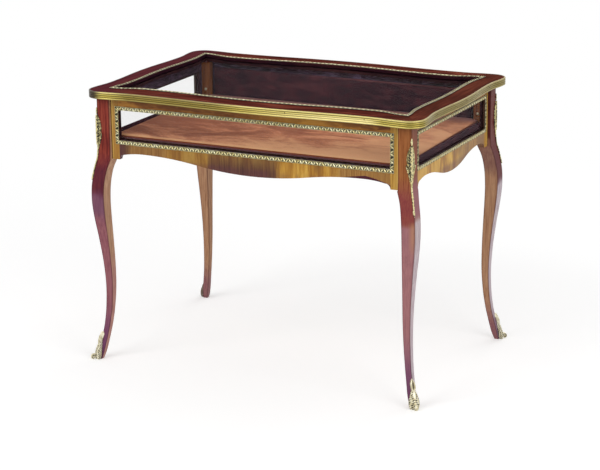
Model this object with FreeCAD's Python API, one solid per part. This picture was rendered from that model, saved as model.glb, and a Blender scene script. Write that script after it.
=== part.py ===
"""Collectors display table: a glazed case with a hinged glass lid on four cabriole legs.

Millimetres. +Z is up, the front faces -Y, and the origin is on the floor under the middle of the case.
"""
import FreeCAD, Part
import math
import os

Vector = FreeCAD.Vector

# ---- driving dimensions of the case ----
case_width = 922.0           # over the outer faces of the legs' posts
case_depth = 587.0
case_top = 739.5             # top of the posts, stiles and top rails
post_width = 38.0            # square section of each upper leg
panel_recess = 8.5           # how far the walls stand back from the posts
wall_thickness = 14.0
stile_width = 24.0
top_rail_height = 31.0
window_height = 83.5         # clear opening between the gilt borders
stile_drop = 53.0            # the stiles end this far below the window
rebate_width = 5.0           # how much wider the rebate is than the clear opening
lip_depth = 5.0              # wood or border in front of the glass
pane_thickness = 3.0
pane_clearance = 0.5         # between a pane's edge and its rebate
bead_clearance = 0.2         # between a pane and the bead behind it

# ---- joinery ----
tongue_length = 8.0          # stile tongue in the post's groove
tongue_thickness = 6.0
tongue_end_margin = 12.0
tenon_length = 10.0          # rail and apron tenons in the stiles
tenon_thickness = 6.0
tenon_margin = 4.0
joint_setback = 5.0          # tongue and tenon, measured in from the wall's outer face

# ---- aprons: depth below the window of the lower edge, in its middle and at its two peaks ----
front_apron_middle = 60.0
front_apron_peak = 33.0
front_peak_inset = 74.0      # from the apron's end
side_apron_middle = 62.5
side_apron_peak = 34.0
side_peak_inset = 49.5
apron_bracket = 14.0         # radius of the small bracket beside each stile

# ---- cabriole legs ----
knee_swell = 15.5            # how far the knee and the foot stand out past the post
arris_radius = 2.0
shoulder_ledge = 3.0         # extra width of the leg just below the stiles
swell_start = 38.0           # height above the shoulder where the outer faces start to curve
# share of the shoulder height, share of the knee swell, share of the post width
leg_stations = [
    (0.000, 1.00, 0.40),
    (0.060, 0.80, 0.41),
    (0.115, 0.38, 0.40),
    (0.175, 0.00, 0.41),
    (0.260, -0.29, 0.45),
    (0.370, -0.39, 0.52),
    (0.490, -0.16, 0.62),
    (0.610, 0.30, 0.77),
    (0.715, 0.78, 0.92),
    (0.795, 1.00, 1.00),
    (0.875, 0.93, 1.02),
    (0.945, 0.55, 1.01),
    (1.000, 0.16, 1.02),
]

# ---- gilt mounts ----
border_width = 10.0
border_thickness = 2.5
knee_mount_thickness = 5.0   # measured along the leg's diagonal
sabot_thickness = 4.5
mount_gap = 0.2              # between a mount and the wood it wraps
knee_mount_top_gap = 27.5    # below the top of the post
knee_mount_tail = 59.0       # below the shoulder
knee_mount_half_width = 11.5 # across the diagonal of the leg
sabot_tip_height = 82.0
sabot_collar_height = 46.0
sabot_half_width = 15.0
sabot_leaf_half_width = 9.5
sabot_scroll_width = 9.0     # of the leaves and the scroll that stand out from the arris
toe_radius = 8.5
toe_reach = 16.0             # centre of the toe scroll, out from the foot's outer arris

# ---- inside of the case ----
bottom_board_drop = 25.0     # its underside, below the window
bottom_board_thickness = 8.0
bottom_board_tongue = 4.0
block_reach_x = 10.5         # corner block past the post's inner faces
block_reach_y = 4.5
block_top_gap = 2.5          # below the top of the posts
block_screw_height = 52.0    # above the bottom board
lining_thickness = 8.0
lining_side_gap = 9.5        # from the corner blocks
lining_top_gap = 15.5        # from the top of the case
bearer_height = 17.0         # under the display board's front edge
board_rise = 8.0             # the display board slopes up to the back by this much
board_core_thickness = 8.0
velvet_thickness = 3.0
board_side_gap = 14.5        # between the display board and the side walls
board_front_gap = 11.0
board_fit_gap = 0.5          # at the lining and round the corner blocks
bearer_width = 15.0
bearer_inset = 22.0          # bearers stand back from the board's edges

# ---- lid ----
lid_gap = 0.5                # between the case and the closed lid
lid_thickness = 20.0
lid_shift = 5.0              # the lid's centre lies this far behind the case's centre
lid_side_crest_overhang = 29.0   # the serpentine outline, over the brass edge, past the legs' posts
lid_side_neck_overhang = 21.0
lid_side_ear_overhang = 29.0
lid_side_neck_inset = 129.0      # from the ear to the narrowest place
lid_front_crest_overhang = 30.5
lid_front_neck_overhang = 17.5
lid_front_ear_overhang = 25.5
lid_front_neck_inset = 145.0
lid_corner_radius = 42.0
lid_frame_width = 61.0       # from the outline to the corner of the glass opening
opening_side_bow = 8.0       # how much each inner edge waves in from its corners
opening_front_bow = 20.0
opening_crest_bow = 2.0
opening_side_neck_inset = 78.0
opening_front_neck_inset = 94.0
lid_lip_height = 8.0         # wood over the lid's glass
lid_rebate_width = 8.0
lid_pane_thickness = 4.0
lid_bead_setback = 0.5       # beads stay above the lid's underside
lid_border_width = 9.0
lid_border_height = 3.0
key_length = 30.0
key_width = 24.0
key_thickness = 4.0

# ---- brass edge moulding round the lid ----
edge_thickness = 4.0
edge_groove_depth = 0.9
edge_groove_height = 2.4
edge_groove_count = 3
pin_head_radius = 1.3
pin_head_height = 0.6
pin_head_gap = 0.1           # clears the curve of the moulding
pin_shank_radius = 0.7
pin_length = 9.0
pin_inner_offset = 117.0     # inner pins on the front and back runs

# ---- hinges ----
hinge_inset = 133.0          # from the post to the middle of the hinge
hinge_length = 60.0
hinge_middle_knuckle = 20.0
hinge_leaf_width = 20.0
hinge_leaf_thickness = 1.6
knuckle_radius = 3.2
knuckle_clearance = 0.5      # between the knuckles and the wood
knuckle_end_gap = 0.15
hinge_pin_radius = 1.5
hinge_pin_clearance = 0.05   # radial
screw_head_radius = 3.0
screw_head_height = 1.4
screw_shank_radius = 1.4
screw_length = 13.0
screw_clearance = 0.05
screw_spacing = 20.0
block_screw_head_radius = 4.5
block_screw_head_height = 2.4
block_screw_shank_radius = 2.0
block_screw_length = 19.0

# ---- worked out from the driving dimensions ----
window_top = case_top - top_rail_height
window_bottom = window_top - window_height
shoulder_height = window_bottom - stile_drop
bottom_board_height = window_bottom - bottom_board_drop
knee_mount_top = case_top - knee_mount_top_gap
knee_mount_bottom = shoulder_height - knee_mount_tail
lid_side_crest = case_width / 2 + lid_side_crest_overhang
lid_side_neck = case_width / 2 + lid_side_neck_overhang
lid_ear_x = case_width / 2 + lid_side_ear_overhang
lid_front_crest = case_depth / 2 + lid_front_crest_overhang
lid_front_neck = case_depth / 2 + lid_front_neck_overhang
lid_ear_y = case_depth / 2 + lid_front_ear_overhang
lid_front_neck_offset = lid_ear_x - lid_front_neck_inset
lid_side_neck_offset = lid_ear_y - lid_side_neck_inset
opening_corner_x = lid_ear_x - lid_frame_width
opening_corner_y = lid_ear_y - lid_frame_width
opening_front_neck_offset = opening_corner_x - opening_front_neck_inset
opening_side_neck_offset = opening_corner_y - opening_side_neck_inset
lid_bottom = case_top + lid_gap
lid_top = lid_bottom + lid_thickness
half_spans = {"front": case_width / 2, "right": case_depth / 2,
              "back": case_width / 2, "left": case_depth / 2}
wall_faces = {"front": case_depth / 2 - panel_recess, "right": case_width / 2 - panel_recess,
              "back": case_depth / 2 - panel_recess, "left": case_width / 2 - panel_recess}
wall_turns = {"front": 0.0, "right": 90.0, "back": 180.0, "left": 270.0}
glazed_sides = ["front", "right", "left"]
corners = {"front_left": (-1, -1), "front_right": (1, -1), "back_right": (1, 1), "back_left": (-1, 1)}
inner_x = wall_faces["right"] - wall_thickness       # inner faces of the walls
inner_y = wall_faces["front"] - wall_thickness
post_inner_x = case_width / 2 - post_width
post_inner_y = case_depth / 2 - post_width
block_x = post_inner_x - block_reach_x
block_y = post_inner_y - block_reach_y
bottom_board_top = bottom_board_height + bottom_board_thickness
board_front_height = bottom_board_top + bearer_height + board_core_thickness + velvet_thickness
lining_half_width = block_x - lining_side_gap
hinge_axis_y = case_depth / 2 + knuckle_radius + knuckle_clearance
hinge_axis_z = case_top + lid_gap / 2
z_axis = Vector(0, 0, 1)
overcut = 1.0                # how far a cutting tool runs past the face it opens


# ---- helpers ----
def box(x0, x1, y0, y1, z0, z1):
    return Part.makeBox(x1 - x0, y1 - y0, z1 - z0, Vector(x0, y0, z0))


def cylinder(radius, start, direction, length):
    return Part.makeCylinder(radius, length, start, direction)


def fused(shapes):
    return shapes[0].fuse(shapes[1:]).removeSplitter() if len(shapes) > 1 else shapes[0]


def group(shapes):
    return Part.makeCompound(shapes)


def prism(points, direction):
    """Straight prism on a closed outline of points."""
    face = Part.Face(Part.makePolygon(points + [points[0]]))
    return face.extrude(direction)


def turned(shape, side):
    """Carries a shape built for the front wall to the named wall."""
    copy = shape.copy()
    copy.rotate(Vector(0, 0, 0), z_axis, wall_turns[side])
    return copy


def s_curve(start, end, along):
    """Two equal arcs that leave start and reach end in the direction of along."""
    step = end - start
    across = step - along * step.dot(along)
    run, rise = step.dot(along), across.Length
    if rise < 1e-6:
        return [Part.LineSegment(start, end).toShape()]
    radius = (run * run + rise * rise) / (4 * rise)
    turn = 2 * math.atan2(rise, abs(run))
    across.normalize()
    heading = along if run > 0 else -along
    reach = heading * (radius * math.sin(turn / 2)) + across * (radius * (1 - math.cos(turn / 2)))
    middle = start + step / 2
    return [Part.Arc(start, start + reach, middle).toShape(), Part.Arc(middle, end - reach, end).toShape()]


def serpentine(side, front, height):
    """Closed outline: side and front give crest, neck, neck offset and ear; the last value is the radius."""
    crest_x, neck_x, neck_at_y, ear_x, radius = side
    crest_y, neck_y, neck_at_x, ear_y = front
    edges = []
    for sx, sy in corners.values():
        def point(x, y):
            return Vector(sx * x, sy * y + lid_shift, height)
        along_y, along_x = Vector(0, sy, 0), Vector(sx, 0, 0)
        edges += s_curve(point(crest_x, 0), point(neck_x, neck_at_y), along_y)
        edges += s_curve(point(neck_x, neck_at_y), point(ear_x, ear_y - radius), along_y)
        edges += s_curve(point(ear_x - radius, ear_y), point(neck_at_x, neck_y), along_x)
        edges += s_curve(point(neck_at_x, neck_y), point(0, crest_y), along_x)
        if radius > 0:
            bend = radius * (1 - math.sqrt(0.5))
            edges.append(Part.Arc(point(ear_x, ear_y - radius), point(ear_x - bend, ear_y - bend),
                                  point(ear_x - radius, ear_y)).toShape())
    return Part.Wire(Part.__sortEdges__(edges))


def lid_outline(inset, height):
    side = (lid_side_crest - inset, lid_side_neck - inset, lid_side_neck_offset, lid_ear_x - inset,
            lid_corner_radius - inset)
    front = (lid_front_crest - inset, lid_front_neck - inset, lid_front_neck_offset, lid_ear_y - inset)
    return serpentine(side, front, height)


def opening_outline(outset, height):
    """Edge of the lid's glass opening, or a line that runs outset millimetres outside it."""
    corner_x = opening_corner_x + outset
    corner_y = opening_corner_y + outset
    side = (corner_x - opening_crest_bow, corner_x - opening_side_bow, opening_side_neck_offset, corner_x, 0.0)
    front = (corner_y - opening_crest_bow, corner_y - opening_front_bow, opening_front_neck_offset, corner_y)
    return serpentine(side, front, height)


def slab(outer, inner, height):
    """Extrudes the area between two flat outlines, or inside the one given."""
    face = Part.Face(outer).cut(Part.Face(inner)) if inner else Part.Face(outer)
    return face.extrude(Vector(0, 0, height))


def mitre_wedge(side, low, high):
    """Everything of the lid that lies between the two mitre lines at the ends of one side."""
    far, near = 150.0, -200.0
    reach, depth = opening_corner_x, opening_corner_y
    if side in ("right", "left"):
        reach, depth = depth, reach
    points = [Vector(-reach - near, -depth - near, low), Vector(reach + near, -depth - near, low),
              Vector(reach + far, -depth - far, low), Vector(-reach - far, -depth - far, low)]
    wedge = turned(prism(points, Vector(0, 0, high - low)), side)
    wedge.translate(Vector(0, lid_shift, 0))
    return wedge


def mitred_frame(side, width, y0, y1):
    """Four mitred strips round a wall's window, from its edge to width outside it."""
    half = window_half(side)

    def rectangle(grow):
        return [Vector(-half - grow, y0, window_bottom - grow), Vector(half + grow, y0, window_bottom - grow),
                Vector(half + grow, y0, window_top + grow), Vector(-half - grow, y0, window_top + grow)]
    inner, outer = rectangle(0.0), rectangle(width)
    return [prism([inner[i - 1], inner[i], outer[i], outer[i - 1]], Vector(0, y1 - y0, 0)) for i in range(4)]


def wave_level(offset, crest, neck, neck_at):
    """Distance from the lid's centre line to its edge, at an offset between the crest and the neck."""
    rise = crest - neck
    radius = (neck_at ** 2 + rise ** 2) / (4 * rise)
    if offset <= neck_at / 2:
        return crest - radius + math.sqrt(radius ** 2 - offset ** 2)
    return neck + radius - math.sqrt(radius ** 2 - (neck_at - offset) ** 2)


def window_half(side):
    return half_spans[side] - post_width - stile_width


# ---- legs ----
def leg_section(corner, height, outward, width, grow):
    """Rounded square wire whose outer corner stands outward past the post's outer corner."""
    sx, sy = corner
    size = width + 2 * grow
    x = sx * (case_width / 2 + outward - width / 2)
    y = sy * (case_depth / 2 + outward - width / 2)
    half, radius = size / 2, arris_radius + grow
    bend = radius * (1 - math.sqrt(0.5))
    edges = []
    for turn in range(4):
        angle = math.radians(90 * turn)
        c, s = math.cos(angle), math.sin(angle)

        def point(u, v):
            return Vector(x + u * c - v * s, y + u * s + v * c, height)
        edges.append(Part.LineSegment(point(half, -half + radius), point(half, half - radius)).toShape())
        edges.append(Part.Arc(point(half, half - radius), point(half - bend, half - bend),
                              point(half - radius, half)).toShape())
    return Part.Wire(edges)


def leg_form(corner, grow):
    """The curved leg below the shoulder, with all its faces moved out by grow."""
    sections = []
    for height_share, swell_share, width_share in leg_stations:
        ledge = shoulder_ledge if height_share == 1.0 else 0.0
        sections.append(leg_section(corner, height_share * shoulder_height, swell_share * knee_swell,
                                    width_share * post_width + ledge, grow))
    return Part.makeLoft(sections, True, False)


def post_form(corner, grow):
    """The square post, whose outer faces ease out to meet the knee."""
    shoulder_swell = leg_stations[-1][1] * knee_swell
    eased = [(0.0, shoulder_swell), (0.45, shoulder_swell * 0.3), (1.0, 0.0)]
    sections = [leg_section(corner, shoulder_height + share * swell_start, swell, post_width + swell, grow)
                for share, swell in eased]
    base = Part.makeLoft(sections, True, False)
    top = Part.Face(leg_section(corner, shoulder_height + swell_start, 0.0, post_width, grow))
    return base.fuse(top.extrude(Vector(0, 0, case_top - shoulder_height - swell_start)))


def leg(corner):
    body = leg_form(corner, 0.0).fuse(post_form(corner, 0.0))
    for side in wall_turns:
        for tongue in stile_tongues(side):
            body = body.cut(tongue)
    return body.cut(block_screw_hole(corner)).removeSplitter()


# ---- walls: every piece is built for the front wall and then turned ----
def outer_face(side):
    return -wall_faces[side]


def window_rebate(side):
    """Room cut behind the clear opening for the pane and its beads."""
    half, face = window_half(side) + rebate_width, outer_face(side)
    return box(-half, half, face + lip_depth, face + wall_thickness + overcut,
               window_bottom - rebate_width, window_top + rebate_width)


def stile_tongues(side):
    face, span = outer_face(side), half_spans[side] - post_width
    tongues = []
    for sign in (-1, 1):
        ends = sorted((sign * span, sign * (span + tongue_length)))
        tongues.append(turned(box(*ends, face + joint_setback, face + joint_setback + tongue_thickness,
                                  shoulder_height + tongue_end_margin, case_top - tongue_end_margin), side))
    return tongues


def rail_tenons(side, low, high):
    """Tenons at both ends of a top rail or an apron."""
    face, span = outer_face(side), window_half(side)
    tenons = []
    for sign in (-1, 1):
        ends = sorted((sign * span, sign * (span + tenon_length)))
        tenons.append(box(*ends, face + joint_setback, face + joint_setback + tenon_thickness, low, high))
    return tenons


def top_rail_tenons(side):
    return rail_tenons(side, window_top + rebate_width + tenon_margin / 2, case_top - tenon_margin)


def apron_tenons(side):
    return rail_tenons(side, bottom_board_height - tongue_end_margin,
                       window_bottom - rebate_width - tenon_margin / 2)


def stiles(side):
    face, span = outer_face(side), half_spans[side] - post_width
    cuts = top_rail_tenons(side) + apron_tenons(side) + [window_rebate(side)]
    pieces = []
    for sign, tongue in zip((-1, 1), stile_tongues(side)):
        ends = sorted((sign * (span - stile_width), sign * span))
        piece = box(*ends, face, face + wall_thickness, shoulder_height, case_top)
        for cut in cuts:
            piece = piece.cut(cut)
        pieces.append(turned(piece, side).fuse(tongue).removeSplitter())
    return group(pieces)


def top_rail(side):
    face, half = outer_face(side), window_half(side)
    parts = [box(-half, half, face, face + wall_thickness, window_top, case_top)] + top_rail_tenons(side)
    if side == "back":
        span = half_spans[side] - post_width
        parts.append(box(-span, span, face - panel_recess, face, window_top, case_top))
    rail = turned(fused(parts).cut(window_rebate(side)), side)
    if side == "back":
        for tool in hinge_recesses(case_top - hinge_leaf_thickness, case_top + overcut):
            rail = rail.cut(tool)
        for tool in hinge_screw_holes(-1):
            rail = rail.cut(tool)
    return rail


def apron(side):
    """Shaped board below the window, with a wave along its lower edge and a bracket at each end."""
    face, half = outer_face(side), window_half(side)
    wide = side in ("front", "back")
    middle = window_bottom - (front_apron_middle if wide else side_apron_middle)
    peak = window_bottom - (front_apron_peak if wide else side_apron_peak)
    peak_at = half - (front_peak_inset if wide else side_peak_inset)
    bracket_at, bracket_top = half - apron_bracket, shoulder_height + apron_bracket
    run, drop = bracket_at - peak_at, peak - bracket_top
    fall_radius = (run ** 2 + drop ** 2) / (2 * drop)
    half_turn = math.asin(run / fall_radius) / 2
    halfway = (peak_at + fall_radius * math.sin(half_turn), peak - fall_radius * (1 - math.cos(half_turn)))
    bend = apron_bracket * math.sqrt(0.5)
    edges = []
    for sign in (-1, 1):
        def point(x, z):
            return Vector(sign * x, face, z)
        edges += s_curve(point(0, middle), point(peak_at, peak), Vector(sign, 0, 0))
        edges.append(Part.Arc(point(peak_at, peak), point(*halfway), point(bracket_at, bracket_top)).toShape())
        edges.append(Part.Arc(point(bracket_at, bracket_top),
                              point(bracket_at + bend, shoulder_height + bend),
                              point(half, shoulder_height)).toShape())
        edges.append(Part.LineSegment(point(half, shoulder_height), point(half, window_bottom)).toShape())
    edges.append(Part.LineSegment(Vector(-half, face, window_bottom), Vector(half, face, window_bottom)).toShape())
    outline = Part.Wire(Part.__sortEdges__(edges))
    board = Part.Face(outline).extrude(Vector(0, wall_thickness, 0))
    board = fused([board] + apron_tenons(side)).cut(window_rebate(side))
    return turned(board, side).cut(bottom_board_form())


def border(side):
    face = outer_face(side)
    return group([turned(strip, side) for strip in
                  mitred_frame(side, border_width, face - border_thickness, face)])


def pane(side):
    half = window_half(side) + rebate_width - pane_clearance
    front = outer_face(side) + lip_depth
    back = front + pane_thickness
    if side == "back":
        back = outer_face(side) + wall_thickness
    return turned(box(-half, half, front, back, window_bottom - rebate_width + pane_clearance,
                      window_top + rebate_width - pane_clearance), side)


def beads(side):
    face = outer_face(side)
    return group([turned(strip, side) for strip in
                  mitred_frame(side, rebate_width, face + lip_depth + pane_thickness + bead_clearance,
                               face + wall_thickness)])


# ---- gilt mounts on the legs ----
def leaf_prism(corner, right_side, top):
    """Prism along the leg's diagonal on a leaf-shaped outline, given by the poles of its right side."""
    sx, sy = corner
    centre = Vector(sx * (case_width / 2 - post_width), sy * (case_depth / 2 - post_width), 0)
    across = Vector(sx, -sy, 0) * math.sqrt(0.5)
    outward = Vector(sx, sy, 0) * math.sqrt(0.5)
    curves, ends = [], []
    for sign in (-1, 1):
        points = [centre + z_axis * top]
        points += [centre + across * (sign * width) + z_axis * height for width, height in right_side]
        curve = Part.BSplineCurve()
        curve.buildFromPoles(points)
        curves.append(curve.toShape())
        ends.append(points[-1])
    curves.append(Part.LineSegment(*ends).toShape())
    outline = Part.Wire(Part.__sortEdges__(curves))
    return Part.Face(outline).extrude(outward * (3 * post_width))


def outer_shell(corner, form, thickness):
    """Skin on the two outer faces of a leg's form, and none on its inner faces."""
    skin = form.copy()
    skin.translate(Vector(*corner, 0) * (thickness / math.sqrt(2)))
    return skin.cut(form)


def knee_mount(corner):
    length, half = knee_mount_top - knee_mount_bottom, knee_mount_half_width
    shape = [(0.40, 0.02), (0.45, 0.12), (0.75, 0.20), (0.70, 0.28), (1.50, 0.36), (0.80, 0.44), (0.25, 0.52),
             (0.18, 0.62), (0.18, 0.80), (0.15, 1.00)]
    leaf = [(half * width, knee_mount_top - length * down) for width, down in shape]
    form = leg_form(corner, mount_gap).fuse(post_form(corner, mount_gap))
    return outer_shell(corner, form, knee_mount_thickness).common(leaf_prism(corner, leaf, knee_mount_top))


def sabot_scroll(corner):
    """Two leaves one above the other and a toe scroll, standing out along the leg's diagonal."""
    outward = Vector(*corner, 0) * math.sqrt(0.5)
    across = outward.cross(z_axis)
    post_corner = Vector(corner[0] * case_width / 2, corner[1] * case_depth / 2, 0)
    foot = knee_swell * math.sqrt(2)
    notch = (sabot_collar_height, foot * 0.9)
    upper_leaf = [(sabot_tip_height, foot * 0.2), (sabot_tip_height * 0.95, foot * 0.65),
                  (sabot_tip_height * 0.72, foot * 0.9), (sabot_tip_height * 0.60, foot * 1.4), notch]
    lower_leaf = [notch, (sabot_tip_height * 0.44, foot * 1.3), (sabot_tip_height * 0.28, foot * 1.35),
                  (toe_radius * 1.6, foot + toe_reach), (toe_radius, foot + toe_reach)]
    curves = []
    for leaf in (upper_leaf, lower_leaf):
        curve = Part.BSplineCurve()
        curve.buildFromPoles([post_corner + outward * out + z_axis * height for height, out in leaf])
        curves.append(curve.toShape())
    rest = [(toe_radius, foot + toe_reach), (0.0, foot + toe_reach), (0.0, foot * 0.5), (sabot_tip_height, 0.0),
            upper_leaf[0]]
    curves.append(Part.makePolygon([post_corner + outward * out + z_axis * height for height, out in rest]))
    outline = Part.Wire(Part.__sortEdges__([edge for curve in curves for edge in curve.Edges]))
    outline.translate(across * (-sabot_scroll_width / 2))
    plate = Part.Face(outline).extrude(across * sabot_scroll_width)
    return plate.fuse(Part.makeSphere(toe_radius, post_corner + outward * (foot + toe_reach) + z_axis * toe_radius))


def sabot(corner):
    half, collar, tip = sabot_half_width, sabot_collar_height, sabot_tip_height
    leaf_half = sabot_leaf_half_width
    leaf = [(leaf_half * 0.6, tip), (leaf_half, tip * 0.82), (leaf_half, collar * 1.2), (half, collar),
            (half, collar * 0.8), (half, 0.0)]
    form = leg_form(corner, mount_gap)
    shell = outer_shell(corner, form, sabot_thickness).common(leaf_prism(corner, leaf, tip))
    return shell.fuse(sabot_scroll(corner)).cut(form).removeSplitter()


# ---- inside of the case ----
def bottom_board_form():
    """Bottom board with a tongue on each side that enters the aprons."""
    low, high = bottom_board_height, bottom_board_top
    board = box(-inner_x, inner_x, -inner_y, inner_y, low, high)
    for sx, sy in corners.values():
        xs = sorted((sx * post_inner_x, sx * case_width))
        ys = sorted((sy * post_inner_y, sy * case_depth))
        board = board.cut(box(*xs, *ys, low - overcut, high + overcut))
    reach = bottom_board_tongue
    front = window_half("front")
    side = window_half("right")
    return fused([board, box(-front, front, -inner_y - reach, inner_y + reach, low, high),
                  box(-inner_x - reach, inner_x + reach, -side, side, low, high)])


def corner_block(corner):
    """L-shaped block round the post's inner corner, from the bottom board to just below the lid."""
    sx, sy = corner
    xs = sorted((sx * block_x, sx * inner_x))
    ys = sorted((sy * block_y, sy * inner_y))
    post_xs = sorted((sx * post_inner_x, sx * case_width))
    post_ys = sorted((sy * post_inner_y, sy * case_depth))
    low, high = bottom_board_top, case_top - block_top_gap
    block = box(*xs, *ys, low, high).cut(box(*post_xs, *post_ys, low - overcut, high + overcut))
    return block.cut(block_screw_hole(corner))


def block_screw_seat(corner):
    """Where a block screw's head meets its block, and the way the screw runs."""
    sx, sy = corner
    height = bottom_board_top + block_screw_height
    return Vector(sx * (block_x + inner_x) / 2, sy * block_y, height), Vector(0, sy, 0)


def block_screw_hole(corner):
    seat, inward = block_screw_seat(corner)
    return cylinder(block_screw_shank_radius + screw_clearance, seat - inward * overcut, inward,
                    block_screw_length + overcut)


def block_screw(corner):
    seat, inward = block_screw_seat(corner)
    head = Part.makeSphere(block_screw_head_radius, seat)
    head = head.common(cylinder(block_screw_head_radius, seat, -inward, block_screw_head_height))
    shank = cylinder(block_screw_shank_radius, seat, inward, block_screw_length)
    return head.fuse(shank)


def board_height(y):
    """Height of the display board's velvet surface at a depth y."""
    front, back = -inner_y + board_front_gap, inner_y - lining_thickness - board_fit_gap
    return board_front_height + board_rise * (y - front) / (back - front)


def board_layer(side_inset, top_inset, bottom_inset):
    """Sloping slab of the display board, set in from its velvet-covered outside, notched at the blocks."""
    half = inner_x - board_side_gap - side_inset
    front = -inner_y + board_front_gap + side_inset
    back = inner_y - lining_thickness - board_fit_gap - side_inset
    points = [Vector(-half, y, board_height(y) - inset) for y, inset in
              ((front, bottom_inset), (back, bottom_inset), (back, top_inset), (front, top_inset))]
    slab_form = prism(points, Vector(2 * half, 0, 0))
    notch_x, notch_y = block_x - board_fit_gap - side_inset, block_y - board_fit_gap - side_inset
    for sx, sy in corners.values():
        xs = sorted((sx * notch_x, sx * case_width))
        ys = sorted((sy * notch_y, sy * case_depth))
        slab_form = slab_form.cut(box(*xs, *ys, bottom_board_top, case_top))
    return slab_form


def display_board():
    return board_layer(velvet_thickness, velvet_thickness, velvet_thickness + board_core_thickness)


def display_velvet():
    return board_layer(0.0, 0.0, velvet_thickness + board_core_thickness).cut(display_board())


def board_bearers():
    """Four strips between the bottom board and the sloping display board."""
    under = velvet_thickness + board_core_thickness
    front = -inner_y + board_front_gap + bearer_inset
    back = inner_y - lining_thickness - bearer_inset
    side = inner_x - board_side_gap - bearer_inset
    strips = []
    for y0, half in ((front, side - bearer_width), (back - bearer_width, side - bearer_width)):
        y1 = y0 + bearer_width
        points = [Vector(-half, y0, bottom_board_top), Vector(-half, y1, bottom_board_top),
                  Vector(-half, y1, board_height(y1) - under), Vector(-half, y0, board_height(y0) - under)]
        strips.append(prism(points, Vector(2 * half, 0, 0)))
    for x0 in (-side, side - bearer_width):
        points = [Vector(x0, front, bottom_board_top), Vector(x0, back, bottom_board_top),
                  Vector(x0, back, board_height(back) - under), Vector(x0, front, board_height(front) - under)]
        strips.append(prism(points, Vector(bearer_width, 0, 0)))
    return group(strips)


def back_lining():
    low = board_height(inner_y) - velvet_thickness - board_core_thickness
    return box(-lining_half_width, lining_half_width, inner_y - lining_thickness, inner_y, low,
               case_top - lining_top_gap)


# ---- lid ----
def lid_ring(side):
    """One mitred member of the lid's frame, rebated for the glass and slotted for the corner keys."""
    ring = slab(lid_outline(edge_thickness, lid_bottom), opening_outline(0.0, lid_bottom), lid_thickness)
    rebate = slab(opening_outline(lid_rebate_width, lid_bottom - overcut), None,
                  lid_thickness - lid_lip_height + overcut)
    member = ring.cut(rebate).common(mitre_wedge(side, lid_bottom - overcut, lid_top + overcut))
    for tool in [corner_key(corner) for corner in corners.values()] + edge_pin_holes():
        member = member.cut(tool)
    if side == "back":
        for tool in hinge_recesses(lid_bottom - overcut, lid_bottom + hinge_leaf_thickness):
            member = member.cut(tool)
        for tool in hinge_screw_holes(1) + knuckle_grooves():
            member = member.cut(tool)
    return member


def corner_key(corner):
    """Loose key across a mitre, in the middle of the wood outside the rebate."""
    sx, sy = corner
    solid_width = lid_frame_width - lid_rebate_width
    middle = lid_frame_width / 2 - lid_rebate_width / 2
    key = box(-key_length / 2, key_length / 2, -key_width / 2, key_width / 2, 0, key_thickness)
    key.rotate(Vector(0, 0, 0), z_axis, -45.0 * sx * sy)
    inset = middle + (solid_width - middle) * 0.1
    key.translate(Vector(sx * (lid_ear_x - inset), sy * (lid_ear_y - inset) + lid_shift,
                         lid_bottom + (lid_thickness - lid_lip_height) / 2))
    return key


def lid_pane():
    return slab(opening_outline(lid_rebate_width - pane_clearance, lid_top - lid_lip_height - lid_pane_thickness),
                None, lid_pane_thickness)


def lid_beads():
    low = lid_bottom + lid_bead_setback
    high = lid_top - lid_lip_height - lid_pane_thickness - bead_clearance
    ring = slab(opening_outline(lid_rebate_width, low), opening_outline(0.0, low), high - low)
    return group([ring.common(mitre_wedge(side, low - overcut, high + overcut)) for side in wall_turns])


def lid_border():
    ring = slab(opening_outline(lid_border_width, lid_top), opening_outline(0.0, lid_top), lid_border_height)
    return group([ring.common(mitre_wedge(side, lid_top - overcut, lid_top + lid_border_height + overcut))
                  for side in wall_turns])


def edge_ring():
    """The whole brass moulding, with parallel grooves along its outer face."""
    ring = slab(lid_outline(0.0, lid_bottom), lid_outline(edge_thickness, lid_bottom), lid_thickness)
    pitch = lid_thickness / (edge_groove_count + 1)
    for index in range(edge_groove_count):
        low = lid_bottom + pitch * (index + 1) - edge_groove_height / 2
        ring = ring.cut(slab(lid_outline(-overcut, low), lid_outline(edge_groove_depth, low), edge_groove_height))
    for tool in edge_pin_holes():
        ring = ring.cut(tool)
    return ring


def edge_run(ring, side):
    """The part of the moulding between the joints on one side."""
    joint, depth = lid_front_neck_offset, lid_ear_y
    if side in ("right", "left"):
        joint, depth = lid_side_neck_offset, lid_ear_x
    window = turned(box(-joint, joint, -depth * 1.2, -depth / 2, lid_bottom - overcut, lid_top + overcut), side)
    window.translate(Vector(0, lid_shift, 0))
    return ring.common(window)


def edge_corners(ring):
    pieces = []
    for sx, sy in corners.values():
        xs = sorted((sx * lid_front_neck_offset, sx * lid_ear_x * 1.2))
        ys = sorted((sy * lid_side_neck_offset + lid_shift, sy * lid_ear_y * 1.2 + lid_shift))
        pieces.append(ring.common(box(*xs, *ys, lid_bottom - overcut, lid_top + overcut)))
    return group(pieces)


def edge_pin_places():
    """Outer end and inward direction of every pin in the brass moulding."""
    middle = lid_bottom + lid_thickness / 2
    pitch = lid_thickness / (edge_groove_count + 1)
    height = middle + pitch / 2
    places = []
    for sy in (-1, 1):
        for x in (-lid_front_neck_offset + pin_length, -pin_inner_offset, pin_inner_offset,
                  lid_front_neck_offset - pin_length):
            depth = wave_level(abs(x), lid_front_crest, lid_front_neck, lid_front_neck_offset)
            places.append((Vector(x, sy * depth + lid_shift, height), Vector(0, -sy, 0)))
    for sx in (-1, 1):
        for y in (-lid_side_neck_offset + pin_length, 0.0, lid_side_neck_offset - pin_length):
            reach = wave_level(abs(y), lid_side_crest, lid_side_neck, lid_side_neck_offset)
            places.append((Vector(sx * reach, y + lid_shift, height), Vector(-sx, 0, 0)))
    return places


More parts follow.
